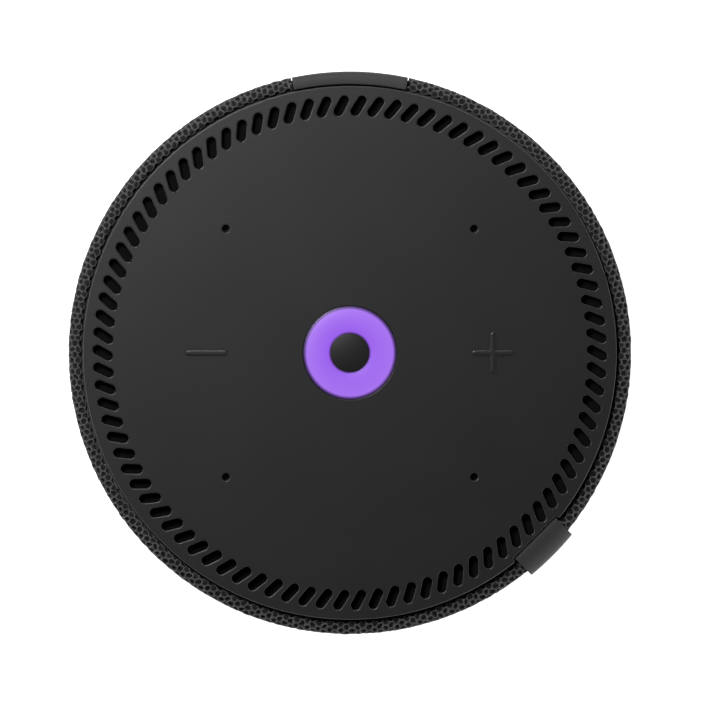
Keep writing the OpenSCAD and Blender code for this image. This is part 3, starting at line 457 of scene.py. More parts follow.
def dress(piece, slot, body, *nodes, finish=None):
    """Gives a piece its finish and its body, and hides the solids that it stands for."""
    if not piece.data.materials:
        piece.data.materials.append(finish_for(finish or slot))
    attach(piece, body)
    if nodes:
        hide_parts(*nodes)


# ---------------------------------------------------------------- finishes


# The colour sockets of a Mix node, which share their names with its other kinds
MIX_FACTOR, MIX_FIRST, MIX_SECOND, MIX_COLOUR = 0, 6, 7, 2


class Finish(Tree):
    """A surface: a Principled shader, and the patterns that feed it."""

    def __init__(self, name, **surface):
        self.material = bpy.data.materials.new(name)
        self.material.use_nodes = True
        super().__init__(self.material.node_tree)
        self.shader = self.tree.nodes["Principled BSDF"]
        for key, value in surface.items():
            self.set(key.replace("_", " ").title().replace("Ior", "IOR"), value)

    def set(self, socket, value):
        if isinstance(value, tuple) and len(value) == 3:
            value = (*value, 1.0)
        plug(self.tree, self.shader.inputs[socket], value)

    def spot(self, scale=(1, 1, 1)):
        """Object coordinates, stretched."""
        seen = self.node("ShaderNodeTexCoord", out="Object")
        return self.node("ShaderNodeMapping", {"Vector": seen, "Scale": scale})

    def noise(self, size, detail=3.0, scale=(1, 1, 1), roughness=0.5):
        """Soft noise from 0 to 1, with lumps of about that size in metres."""
        return self.node(
            "ShaderNodeTexNoise",
            {"Vector": self.spot(scale), "Scale": 1 / size, "Detail": detail, "Roughness": roughness},
        )

    def shades(self, mask, dark, light):
        """A colour between two, by a mask."""
        first, second = (
            tone if isinstance(tone, Wire) else (*tone, 1.0) for tone in (dark, light)
        )
        return self.node(
            "ShaderNodeMix",
            {MIX_FACTOR: mask, MIX_FIRST: first, MIX_SECOND: second},
            out=MIX_COLOUR,
            data_type="RGBA",
        )

    def colour(self, mask, base, dark, light):
        """Colours the surface with darker and lighter tints of one colour, by a mask."""
        self.set("Base Color", self.shades(mask, tinted(base, dark), tinted(base, light)))

    def centred(self):
        """The distance from the hub's axis, and the height."""
        x, y, z = self.parts(self.spot())
        flat = self.place(x, y, 0)
        across = self.node("ShaderNodeVectorMath", {0: flat}, out="Value", operation="LENGTH")
        return across, z

    def scaled(self, colour, by):
        return self.node("ShaderNodeVectorMath", {0: colour, "Scale": by}, operation="SCALE")

    def bump(self, height, depth, strength=1.0):
        """Relief of a height map, depth in metres."""
        relief = self.node(
            "ShaderNodeBump", {"Height": height, "Distance": depth, "Strength": strength}
        )
        self.set("Normal", relief)


def tinted(colour, by):
    return tuple(channel * by for channel in colour)


def moulded(name, colour, roughness=0.5, grain=0.12 * MM, depth=0.01 * MM, patchy=0.12, **more):
    """Moulded plastic or rubber: a spark-eroded grain, faint patches and gloss made uneven by wear."""
    finish = Finish(name, roughness=roughness, **more)
    patches = finish.noise(6 * MM, detail=4)
    finish.colour(patches, colour, 1 - patchy, 1 + patchy)
    fine = finish.noise(grain, detail=2)
    finish.set("Roughness", roughness - 0.04 + fine * 0.05 + patches * 0.05)
    finish.bump(fine, depth)
    return finish.material


def rolled(name, colour, roughness=0.3, lines=0.08 * MM, along=(1, 12, 12)):
    """Rolled or drawn metal with fine lines and faint stains."""
    finish = Finish(name, metallic=1.0)
    stains = finish.noise(4 * MM, detail=5)
    scratches = finish.noise(lines, detail=2, scale=along)
    finish.colour(stains, colour, 0.85, 1.08)
    finish.set("Roughness", roughness - 0.08 + scratches * 0.14 + stains * 0.06)
    finish.bump(scratches, 0.004 * MM)
    return finish.material


def woven(name, colour, pitch, depth, roughness=0.85, **more):
    """Plain weave on Object coordinates, with threads that darken between the crossings, which is painted shade.
    """
    finish = Finish(name, **more)
    x, y, _ = finish.parts(finish.spot())
    turn = TURN / pitch
    threads = (x * turn).sin() * (y * turn).sin() * 0.5 + 0.5
    fuzz = finish.noise(pitch / 3, detail=2)
    # Painted shade: the threads darken to 0.35 of their colour between the crossings and grow paler on them.
    finish.colour(threads, colour, 0.35, 1.25)
    finish.set("Roughness", roughness - 0.1 + fuzz * 0.15)
    finish.bump(threads * 0.8 + fuzz * 0.3, depth)
    return finish.material


def make_panel_plastic():
    """Fine satin plastic, with painted highlights: paler on the rounded edges of its rim and openings, and on the
    sides of the marks.
    """
    base = tuple(bpy.context.scene.hub_colours.panel)
    finish = Finish("panel_plastic", specular_ior_level=0.42)
    patches = finish.noise(14 * MM, detail=4)
    fine = finish.noise(0.11 * MM, detail=3)
    across, height = finish.centred()
    above = height - PANEL_TOP
    below = ((-0.02 * MM - above) / (0.05 * MM)).between(0, 1)
    # Painted highlight: the rounded edges of the rim and the openings, just below the panel's face, are tinted ten
    # times paler.
    painted_edge_highlight = below * ((above + 0.24 * MM) / (0.08 * MM)).between(0, 1)
    painted_edge_highlight = painted_edge_highlight * ((across - WINDOW_R * 1.3) / MM).between(0, 1)
    # Painted highlight: the sides of the marks, above the panel's face and below their tops, are tinted 2.6 times
    # paler.
    mark = ((above - 0.03 * MM) / (0.03 * MM)).between(0, 1)
    mark = mark * ((MARK_TOP - 0.02 * MM - height) / (0.04 * MM)).between(0, 1)
    tone = finish.shades(patches, tinted(base, 0.93), tinted(base, 1.07))
    tone = finish.shades(painted_edge_highlight, tone, tinted(base, 10.0))
    finish.set("Base Color", finish.shades(mark, tone, tinted(base, 2.6)))
    finish.set("Roughness", 0.33 + fine * 0.05 + patches * 0.04)
    finish.bump(fine, 0.006 * MM)
    return finish.material


def make_light_diffuser():
    """Milky plastic lit from below: paler outwards, and fading over its last edge."""
    glow = tuple(bpy.context.scene.hub_colours.light)
    pale = tuple(bpy.context.scene.hub_colours.light_rim)
    finish = Finish("light_diffuser", roughness=0.3, emission_strength=1.0)
    finish.set("Base Color", tinted(glow, 0.12))
    across, _ = finish.centred()
    outwards = ((across - SPOT_R) / (WINDOW_R - SPOT_R)).between(0, 1)
    edge = ((WINDOW_R + 0.03 * MM - across) / (0.62 * MM)).between(0, 1)
    inner = ((across - SPOT_R) / (0.4 * MM)).between(0, 1)
    cloud = finish.noise(2.5 * MM, detail=2)
    level = (0.98 + cloud * 0.04) * (0.02 + edge * edge * 0.98) * (0.25 + inner * 0.75)
    finish.set("Emission Color", finish.scaled(finish.shades(outwards, glow, pale), level))
    return finish.material


def make_yarn():
    """Grey yarn of the knit: twisted strands along each rib, paler on its crowns and darker down into each cell,
    which is painted shade.
    """
    base = tuple(bpy.context.scene.hub_colours.yarn)
    finish = Finish("sleeve_yarn", roughness=0.85, sheen_weight=0.25, sheen_roughness=0.45)
    weave = finish.node("ShaderNodeAttribute", attribute_name="weave", out="Vector")
    _, _, depth = finish.parts(weave)
    strands = finish.node(
        "ShaderNodeTexWave",
        {"Vector": weave, "Scale": 2.6, "Distortion": 3.5, "Detail": 2, "Detail Scale": 1.4},
        bands_direction="DIAGONAL",
    )
    patches = finish.node("ShaderNodeTexNoise", {"Vector": weave, "Scale": 0.35, "Detail": 4})
    fibres = finish.node("ShaderNodeTexNoise", {"Vector": weave, "Scale": 5.0, "Detail": 4})
    # Painted shade: crown falls from 1 on the ribs to 0 a third of a millimetre down, and the yarn darkens with
    # it.
    crown = (1 + depth * 3.0).between(0, 1)
    tone = crown * (0.3 + strands * 0.3 + fibres * 0.5 + patches * 0.4)
    finish.colour(tone.between(0, 1), base, 0.08, 2.2)
    finish.set("Roughness", 0.78 + fibres * 0.15)
    finish.bump(strands * 0.6 + fibres * 0.6, 0.06 * MM, 0.8)
    return finish.material


def make_backing():
    """The knit's dark lower layer, a fine tricot, darkened further so that the cells' holes read as shaded: partly
    painted shade.
    """
    finish = Finish("sleeve_backing", roughness=0.95)
    weave = finish.node("ShaderNodeAttribute", attribute_name="weave", out="Vector")
    u, v, _ = finish.parts(weave)
    loops = (u * 14.0).sin() * (v * 12.0).sin() * 0.5 + 0.5
    dark = tuple(bpy.context.scene.hub_colours.backing)
    # Partly painted shade: the layer's own dark colour is kept very low so that the holes between the knit's ribs
    # look shaded.
    finish.colour(loops, dark, 0.3, 1.1)
    finish.set("Roughness", 0.85 + loops * 0.1)
    finish.bump(loops, 0.05 * MM)
    return finish.material


def make_tag_rubber():
    """Matt silicone with a powdery bloom and a fine, even grain."""
    base = tuple(bpy.context.scene.hub_colours.tag)
    finish = Finish("tag_rubber", specular_ior_level=0.35, sheen_weight=0.15, sheen_roughness=0.6)
    bloom = finish.noise(3 * MM, detail=5)
    grain = finish.noise(0.16 * MM, detail=2)
    finish.colour(bloom, base, 0.9, 1.12)
    finish.set("Roughness", 0.62 + grain * 0.08 + bloom * 0.06)
    finish.bump(grain, 0.012 * MM)
    return finish.material


def make_board():
    """Green solder mask over copper tracks, with a faint glass weave."""
    finish = Finish("board_laminate", roughness=0.35, coat_weight=0.3, coat_roughness=0.2)
    values = {"Vector": finish.spot(), "Scale": 420.0}
    cells = finish.node("ShaderNodeTexVoronoi", values, distance="MANHATTAN")
    weave = finish.noise(0.4 * MM, detail=2)
    tracks = ((cells * 6.0) % 1.0 - 0.45) * 8.0
    mask = tracks.between(0, 1)
    finish.set("Base Color", finish.shades(mask, (0.008, 0.06, 0.022), (0.02, 0.13, 0.045)))
    finish.set("Roughness", 0.3 + weave * 0.12)
    finish.bump(mask * 0.8 + weave * 0.2, 0.03 * MM)
    return finish.material


def make_paper():
    """Pressed paper pulp with soft black fibres."""
    finish = Finish("cone_paper", roughness=0.8)
    fibres = finish.noise(0.35 * MM, detail=5, scale=(1, 1, 0.4), roughness=0.7)
    finish.set("Base Color", finish.shades(fibres, (0.008, 0.008, 0.009), (0.045, 0.043, 0.042)))
    finish.set("Roughness", 0.7 + fibres * 0.2)
    finish.bump(fibres, 0.06 * MM)
    return finish.material


def make_winding():
    """Enamelled copper wire, turn on turn, darker in the grooves between the turns, which is painted shade."""
    finish = Finish("coil_copper", metallic=1.0, coat_weight=0.5, coat_roughness=0.15)
    _, _, z = finish.parts(finish.spot())
    turns = (z * (TURN / (0.18 * MM))).sin() * 0.5 + 0.5
    stains = finish.noise(1.5 * MM)
    # Painted shade: the copper darkens to a deep brown in the grooves between turns.
    finish.set("Base Color", finish.shades(turns, (0.25, 0.06, 0.02), (0.85, 0.36, 0.15)))
    finish.set("Roughness", 0.22 + stains * 0.15)
    finish.bump(turns, 0.06 * MM)
    return finish.material


# Each moulded finish: its colour, its roughness, its grain in mm and the grain's depth in mm
MOULDED = {
    "flex_film": ((0.42, 0.17, 0.035), 0.28, 0.12, 0.006),
    "white_plastic": ((0.78, 0.78, 0.76), 0.4, 0.12, 0.01),
    "lamp_package": ((0.8, 0.76, 0.45), 0.2, 0.1, 0.004),
    "soft_foam": ((0.02, 0.02, 0.02), 0.9, 0.3, 0.12),
    "inner_plastic": ((0.016, 0.016, 0.017), 0.6, 0.2, 0.02),
    "slider_plastic": ((0.07, 0.07, 0.072), 0.38, 0.12, 0.006),
    "socket_plastic": ((0.012, 0.012, 0.012), 0.45, 0.12, 0.01),
    "base_plastic": ((0.018, 0.018, 0.018), 0.55, 0.22, 0.03),
    "foot_rubber": ((0.022, 0.022, 0.022), 0.75, 0.18, 0.02),
    "pad_silicone": ((0.26, 0.33, 0.44), 0.7, 0.4, 0.05),
    "chip_plastic": ((0.01, 0.01, 0.011), 0.5, 0.1, 0.01),
    "coil_ferrite": ((0.04, 0.04, 0.044), 0.55, 0.25, 0.04),
    "connector_plastic": ((0.72, 0.68, 0.54), 0.4, 0.12, 0.01),
    "chip_ceramic": ((0.28, 0.18, 0.11), 0.45, 0.2, 0.02),
    "aerial_flex": ((0.46, 0.2, 0.05), 0.3, 0.12, 0.006),
    "cable_black": ((0.012, 0.012, 0.012), 0.5, 0.12, 0.01),
    "lead_insulation": ((0.42, 0.015, 0.012), 0.42, 0.12, 0.01),
    "box_plastic": ((0.024, 0.024, 0.026), 0.55, 0.25, 0.03),
    "basket_steel": ((0.03, 0.03, 0.031), 0.35, 0.3, 0.02),
    "magnet_ferrite": ((0.05, 0.05, 0.054), 0.6, 0.3, 0.05),
    "roll_rubber": ((0.012, 0.012, 0.012), 0.45, 0.2, 0.01),
    "radiator_plastic": ((0.016, 0.016, 0.016), 0.35, 0.12, 0.008),
}

# Each metal: its colour, its roughness and which way its lines run
ROLLED = {
    # The sensor cans are near black so that the microphone ports above them look dark: painted shade in the ports.
    "sensor_can": ((0.05, 0.047, 0.042), 0.45, (1, 12, 12)),
    "switch_metal": ((0.66, 0.66, 0.64), 0.3, (1, 12, 12)),
    "socket_steel": ((0.6, 0.6, 0.61), 0.26, (12, 1, 12)),
    "screw_steel": ((0.45, 0.45, 0.48), 0.28, (6, 6, 1)),
    "shield_metal": ((0.66, 0.66, 0.64), 0.32, (1, 12, 12)),
    "spreader_aluminium": ((0.78, 0.78, 0.8), 0.34, (12, 1, 12)),
    "capacitor_can": ((0.62, 0.62, 0.65), 0.22, (1, 1, 8)),
    "magnet_steel": ((0.55, 0.55, 0.53), 0.3, (1, 1, 10)),
    "weight_steel": ((0.5, 0.5, 0.5), 0.3, (12, 12, 1)),
    "contact_gold": ((0.85, 0.58, 0.22), 0.2, (12, 1, 12)),
}

LACQUERED = {"basket_steel", "lamp_package", "flex_film", "aerial_flex"}


def make_finishes():
    """Every finish, by the slot that it serves."""
    colours = bpy.context.scene.hub_colours
    made = {
        slot: moulded(
            slot, colour, rough, grain * MM, depth * MM, coat_weight=0.35 * (slot in LACQUERED)
        )
        for slot, (colour, rough, grain, depth) in MOULDED.items()
    }
    made.update(
        (slot, rolled(slot, colour, rough, along=along))
        for slot, (colour, rough, along) in ROLLED.items()
    )
    made["panel_plastic"] = make_panel_plastic()
    made["mask_plastic"] = moulded(
        "mask_plastic",
        tinted(colours.panel, 1.1),
        0.36,
        0.11 * MM,
        0.006 * MM,
        0.07,
        specular_ior_level=0.3,
    )
    made["strip_plastic"] = moulded(
        "strip_plastic",
        tuple(colours.strip),
        0.55,
        0.1 * MM,
        0.005 * MM,
        0.07,
        specular_ior_level=0.2,
    )
    made["light_diffuser"] = make_light_diffuser()
    made["acoustic_mesh"] = woven(
        "acoustic_mesh", (0.003, 0.003, 0.003), 0.24 * MM, 0.05 * MM, specular_ior_level=0.12
    )
    made["spider_cloth"] = woven("spider_cloth", (0.5, 0.27, 0.07), 0.5 * MM, 0.08 * MM, 0.75)
    made["sleeve_fabric"] = make_yarn()
    made["backing"] = make_backing()
    made["tag_rubber"] = make_tag_rubber()
    made["board_laminate"] = make_board()
    made["coil_copper"] = make_winding()
    made["cone_paper"] = make_paper()
    return made


FINISHES = {}


def finish_for(slot):
    """The finish of a material slot, made once."""
    if not FINISHES:
        FINISHES.update(make_finishes())
    return FINISHES[slot]


# ---------------------------------------------------------------- what a user may change


def span(name, about, value):
    """A length that a user may change."""
    return FloatProperty(
        name=name, description=about, default=value, min=0, unit="LENGTH", precision=5
    )


def tint(name, about, value):
    """A colour that a user may change."""
    return FloatVectorProperty(
        name=name, description=about, default=value, size=3, min=0, max=1, subtype="COLOR"
    )


class HubColours(bpy.types.PropertyGroup):
    panel: tint("Panel", "Colour of the touch panel", (0.0075, 0.0075, 0.0077))
    light: tint("Light", "Colour of the lit ring", (0.285, 0.1, 0.755))
    light_rim: tint("Light rim", "Colour of the lit ring towards its rim", (0.36, 0.165, 0.79))
    yarn: tint("Yarn", "Colour of the sleeve's knit", (0.036, 0.036, 0.0365))
    backing: tint("Backing", "Colour of the knit's dark lower layer", (0.008, 0.008, 0.008))
    strip: tint("Strip", "Colour of the rear strip", (0.046, 0.046, 0.0465))
    tag: tint("Tag", "Colour of the side tag", (0.016, 0.016, 0.016))


class PanelSizes(bpy.types.PropertyGroup):
    slots: IntProperty(
        name="Slots", description="Number of sound slots round the rim", default=90, min=3
    )
    slot_circle: span("Slot circle", "Radius of the slots' middle circle", 43 * MM)
    slot_length: span("Slot length", "Length of a slot, end to end", 3.84 * MM)
    slot_width: span("Slot width", "Width of a slot", 1.67 * MM)
    slot_lean: FloatProperty(
        name="Slot lean",
        description="Lean of a slot away from the radius",
        default=math.radians(30),
        subtype="ANGLE",
    )
    edge: span("Edge", "Rounding of the panel's rim and openings", 0.17 * MM)
    port_place: span("Port place", "Distance of a microphone port along X and Y", 21.6 * MM)
    port_width: span("Port width", "Diameter of a microphone port", 1.4 * MM)
    mark_place: span("Mark place", "Distance of a volume mark from the centre", 24.9 * MM)
    mark_length: span("Mark length", "Length of a volume mark's stroke", 7.3 * MM)
    mark_width: span("Mark width", "Width of a volume mark's stroke", 1.05 * MM)


class SleeveSizes(bpy.types.PropertyGroup):
    cells: IntProperty(
        name="Cells", description="Number of cells in a full turn of the knit", default=154, min=12
    )
    row: span("Row", "Distance from one row of cells to the next", 0.8 * MM)
    depth: span("Depth", "How far a cell dips between its ribs", 0.5 * MM)
    uneven: span("Unevenness", "How far the cells stray from an even pattern", 0.42 * MM)
    lip_round: span("Lip", "Rounding where the sleeve turns down into the seam", 0.45 * MM)
    lip_tuck: span("Lip tuck", "How far the sleeve goes down into the seam", 1.0 * MM)
    under: span("Under", "Where the backing lies below the knit's crowns", 0.5 * MM)
    backing: span("Backing", "Thickness of the backing", 0.3 * MM)


class TrimSizes(bpy.types.PropertyGroup):
    strip_round: span("Strip rounding", "Rounding of the strip's top edge", 1.0 * MM)
    fine_edge: span("Fine edge", "Rounding of the trim's other edges", 0.16 * MM)
    tag_width: span("Tag width", "Width of the side tag", 10 * MM)
    tag_drop: span("Tag drop", "Length of the side tag down the side", 15 * MM)
    tag_inside: span("Tag inside", "Distance of the tag's inner end from the axis", 45.6 * MM)
    tag_notch: span("Tag notch", "Gap that the panel leaves round the tag", 0.2 * MM)
    foot_inner: span("Foot inside", "Inner radius of the foot ring", 33.5 * MM)
    foot_grooves: IntProperty(
        name="Foot grooves", description="Number of grooves in the foot ring", default=4, min=0
    )


class StageSizes(bpy.types.PropertyGroup):
    camera_height: span("Camera height", "Height of the camera above the hub", 3.0)
    view_width: span("View width", "Width that the camera sees at the panel", 123.85 * MM)
    floor: FloatProperty(name="Floor", description="Glow of the lit white floor", default=1.0, min=0)
    key: FloatProperty(name="Key", description="Power of the main soft light", default=1.5, min=0)
    fill: FloatProperty(name="Fill", description="Power of the second light", default=3.2, min=0)
    air: FloatProperty(name="Air", description="Brightness overhead", default=0.05, min=0)
    walls: FloatProperty(name="Walls", description="Brightness of the pale walls", default=1.6, min=0)


# ---------------------------------------------------------------- touch panel


def curve_through(name, points, closed=False):
    """A flat curve through points."""
    curve = bpy.data.curves.new(name, "CURVE")
    curve.dimensions = "3D"
    spline = curve.splines.new("POLY")
    spline.points.add(len(points) - 1)
    for point, (x, y) in zip(spline.points, points):
        point.co = (x, y, 0, 1)
    spline.use_cyclic_u = closed
    return curve


def panel_outline(panel, trim):
    """The panel's rim with the tag's notch, inside its rounded edge."""
    rim = PANEL_R - panel.edge
    side = trim.tag_width / 2 + trim.tag_notch + panel.edge
    inner = trim.tag_inside - trim.tag_notch - panel.edge
    open_half = math.asin(side / rim)
    round_rim = arc((0, 0), rim, open_half, TURN - open_half, 356)
    corners = [(*point, 0) for point in round_rim[1:-1]]
    notch = [(*round_rim[-1], 0.3 * MM), (inner, -side, 0.12 * MM)]
    notch += [(inner, side, 0.12 * MM), (*round_rim[0], 0.3 * MM)]
    turn = Matrix.Rotation(TAG_ANGLE, 2)
    return [tuple(turn @ Vector(point)) for point in filleted(corners + notch, 0)]


def edge_profile(name, edge, thickness, steps=4):
    """From the top face, round the edge, down the wall and round to the lower face."""
    over = arc((0, edge), edge, -QUARTER, 0, steps)
    under = arc((0, thickness - edge), edge, 0, QUARTER, 1)
    return curve_through(name, over + under)


def build_panel_plate(panel, trim):
    """The pierced plate: its outline and openings filled flat, with one edge swept round all."""
    thickness = PANEL_TOP - PANEL_LOW
    pattern = Pattern(
        "panel_slots",
        {
            "Slots": panel.slots,
            "Slot circle": panel.slot_circle,
            "Slot length": panel.slot_length,
            "Slot width": panel.slot_width,
            "Slot lean": panel.slot_lean,
            "Edge": panel.edge,
            "Port place": panel.port_place,
            "Port width": panel.port_width,
            "Window radius": WINDOW_R + 0.02 * MM,
            "Thickness": thickness,
        },
    )
    edge = pattern.size("Edge")
    wide = pattern.size("Slot width") + edge * 2
    slot = pattern.node(
        "GeometryNodeCurvePrimitiveQuadrilateral",
        {"Width": pattern.size("Slot length") + edge * 2, "Height": wide},
    )
    values = {"Curve": slot, "Count": 6, "Radius": wide * ALMOST_HALF}
    slot = pattern.node("GeometryNodeFilletCurve", values, mode="POLY")
    index = pattern.node("GeometryNodeInputIndex")
    turn = index * TURN / pattern.size("Slots")
    reach = pattern.size("Slot circle")
    seats = pattern.seats(
        pattern.size("Slots"), pattern.place(turn.cos() * reach, turn.sin() * reach, 0)
    )
    lean = pattern.place(0, 0, turn - pattern.size("Slot lean"))
    slots = pattern.set_on(seats, slot, lean)
    window = pattern.node(
        "GeometryNodeCurvePrimitiveCircle",
        {"Resolution": 128, "Radius": pattern.size("Window radius") + edge},
    )
    port = pattern.node(
        "GeometryNodeCurvePrimitiveCircle",
        {"Resolution": 32, "Radius": pattern.size("Port width") / 2 + edge},
    )
    out = pattern.size("Port place")
    ports = [
        pattern.moved(port, pattern.place(out * x, out * y, 0)) for x in (-1, 1) for y in (-1, 1)
    ]
    openings = pattern.node(
        "GeometryNodeRealizeInstances", {"Geometry": pattern.joined(slots, window, *ports)}
    )
    inwards = pattern.node("GeometryNodeReverseCurve", {"Curve": openings})
    outlines = pattern.joined(pattern.base, inwards)
    face = pattern.shaded(pattern.node("GeometryNodeFillCurve", {"Curve": outlines}), False)
    below = pattern.moved(
        pattern.node("GeometryNodeFlipFaces", {"Mesh": face}),
        pattern.place(0, 0, pattern.size("Thickness") * -1),
    )
    edge_curve = edge_profile("panel_edge", panel.edge, thickness)
    profile = pattern.node(
        "GeometryNodeObjectInfo",
        {"Object": bpy.data.objects.new("panel_edge", edge_curve)},
        out="Geometry",
    )
    wall = pattern.shaded(pattern.swept(outlines, profile), True)
    whole = pattern.merged(pattern.joined(face, below, wall), 0.002 * MM)
    lifted = pattern.moved(whole, (0, 0, PANEL_TOP))
    outline = curve_through("panel_outline", panel_outline(panel, trim), closed=True)
    return pattern.grow("touch_panel", outline, lifted, finish_for("panel_plastic"))


def stroke(name, panel, turn, place):
    """One stroke of a volume mark: a low ridge with round ends and rounded edges."""
    height = MARK_TOP - PANEL_TOP
    half = panel.mark_width / 2
    bevel = half * 0.55
    section = [(0.0, -0.05 * MM)]
    section += [(bevel * inset, height * lift) for inset, lift in MARK_BEVEL]
    shape = bmesh.new()
    rings = []
    for inset, lift in section:
        outline = track(panel.mark_length - 2 * inset, 2 * (half - inset), 8)
        rings.append([shape.verts.new((x, y, lift)) for x, y in outline])
    stitched(shape, rings)
    shape.faces.new(rings[-1])
    shape.faces.new(list(reversed(rings[0])))
    shape.transform(Matrix.Translation((place, 0, PANEL_TOP)) @ Matrix.Rotation(turn, 4, "Z"))
    return from_bmesh(name, shape, smooth=False)


def build_marks(panel):
    """The volume marks: a minus on the left and a plus on the right."""
    minus = stroke("minus_mark", panel, 0, -panel.mark_place)
    plus = stroke("plus_mark", panel, 0, panel.mark_place)
    upright = stroke("plus_upright", panel, QUARTER, panel.mark_place)
    return [minus, combined("UNION", plus, upright)]


def build_window():
    """The lit ring's milky window, with a seat for the dark spot."""
    seat = PANEL_TOP - SPOT_DEPTH
    foot = low("light_window", "z")
    flange = high("light_window", "x")
    fine = 0.06 * MM
    section = [(0, seat), (SPOT_R + fine, seat)]
    section += arc((SPOT_R + 2 * fine, PANEL_TOP - fine), fine, 2 * QUARTER, QUARTER, 3)
    section += arc((WINDOW_R - fine, PANEL_TOP - fine), fine, QUARTER, 0, 3)
    section += [(WINDOW_R, PANEL_LOW), (flange, PANEL_LOW), (flange, foot), (0, foot)]
    return turned("light_window_disc", section, 128)


def build_spot():
    """The plain dark spot in the middle of the lit ring."""
    foot = PANEL_TOP - SPOT_DEPTH
    fine = 0.08 * MM
    section = [(0, PANEL_TOP)] + arc((SPOT_R - fine, PANEL_TOP - fine), fine, QUARTER, 0, 4)
    section += [(SPOT_R, foot), (0, foot)]
    return turned("centre_spot", section, 96)


class HUB_OT_panel(bpy.types.Operator):
    """Builds the touch panel with its slots and marks"""

    bl_idname = "hub.panel"
    bl_label = "Touch panel"

    def execute(self, context):
        panel = context.scene.hub_panel
        plate = build_panel_plate(panel, context.scene.hub_trim)
        for piece in (plate, *build_marks(panel)):
            dress(piece, "panel_plastic", HUB, "top_panel")
        return {"FINISHED"}


class HUB_OT_window(bpy.types.Operator):
    """Builds the lit window and its dark spot"""

    bl_idname = "hub.window"
    bl_label = "Lit ring"

    def execute(self, context):
        dress(build_window(), "light_diffuser", HUB, "light_window")
        dress(build_spot(), "mask_plastic", HUB, "window_mask")
        return {"FINISHED"}


# ---------------------------------------------------------------- fabric sleeve


def sine(angle):
    return angle.sin() if isinstance(angle, Wire) else math.sin(angle)


def cosine(angle):
    return angle.cos() if isinstance(angle, Wire) else math.cos(angle)


def kept(value, least, most):
    if isinstance(value, Wire):
        return value.between(least, most)
    return min(max(value, least), most)


class Path:
    """A line through radius and height made of straights and arcs, followed by its length.

    It works on plain numbers and on wires alike. Its two ends run on for ever."""

    ENDLESS = 10.0

    def __init__(self, radius, height, facing):
        self.start = (radius, height)
        self.facing = facing
        self.legs = []

    def straight(self, length):
        self.legs.append((length, 0.0))

    def bend(self, radius, turn):
        self.legs.append((radius * turn, turn))

    def length(self):
        return sum(length for length, _ in self.legs)

    def at(self, gone):
        """Radius, height and facing at a length along the path."""
        radius, height = self.start
        facing, heading, passed = self.facing, self.facing, 0.0
        for number, (length, turn) in enumerate(self.legs):
            least = -self.ENDLESS if number == 0 else 0.0
            most = self.ENDLESS if number == len(self.legs) - 1 else length
            here = kept(gone - passed, least, most)
            if turn:
                bend = length / turn
                now = here / bend + heading
                radius = radius + (sine(now) - math.sin(heading)) * bend
                height = height + (math.cos(heading) - cosine(now)) * bend
                facing = facing + here / bend
            else:
                radius = radius + here * math.cos(heading)
                height = height + here * math.sin(heading)
            heading += turn
            passed += length
        return radius, height, facing


def sleeve_path(sleeve):
    """From under the hem, up the side, over the shoulder and down into the seam."""
    shoulder_mid = BODY_R - SHOULDER_R
    lip = sleeve.lip_round
    over = math.acos((LIP_R + lip - shoulder_mid) / (SHOULDER_R - lip))
    path = Path(HEM_R, HEM_Z, 0.0)
    path.straight(BODY_R - HEM_ROUND - HEM_R)
    path.bend(HEM_ROUND, QUARTER)
    path.straight(SHOULDER_Z - HEM_Z - HEM_ROUND)
    path.bend(SHOULDER_R, over)
    path.bend(lip, 2 * QUARTER - over)
    path.straight(sleeve.lip_tuck)
    return path


def sleeve_ends(gap):
    """The angles at which a layer starts and ends, a gap in degrees off the rear strip."""
    gap = math.radians(gap)
    return QUARTER + STRIP_HALF + gap, QUARTER + 4 * QUARTER - STRIP_HALF - gap


def knit_cell(sleeve):
    """One cell of the knit, drawn flat: six ribs round a hole that dips in the middle."""
    across = TURN * BODY_R / sleeve.cells
    tip, shoulder, row = across / 3, across / 6, sleeve.row
    corners = [Vector((tip, 0)), Vector((shoulder, -row)), Vector((-shoulder, -row))]
    corners += [-corner for corner in corners]
    border = []
    for one, two in zip(corners, corners[1:] + corners[:1]):
        border += [one, (one + two) / 2]
    hole = across * 0.22
    shape = bmesh.new()
    rings = []
    for inwards, dip in ((0.0, 0.0), (0.45, 0.22), (1.0, 1.0)):
        ring = []
        for point in border:
            inner = point.normalized() * hole
            spot = point.lerp(Vector((inner.x, inner.y * 1.2)), inwards)
            ring.append(shape.verts.new((spot.x, spot.y, -dip * sleeve.depth)))
        rings.append(ring)
    stitched(shape, rings)
    mesh = bpy.data.meshes.new("knit_cell")
    shape.to_mesh(mesh)
    shape.free()
    return mesh


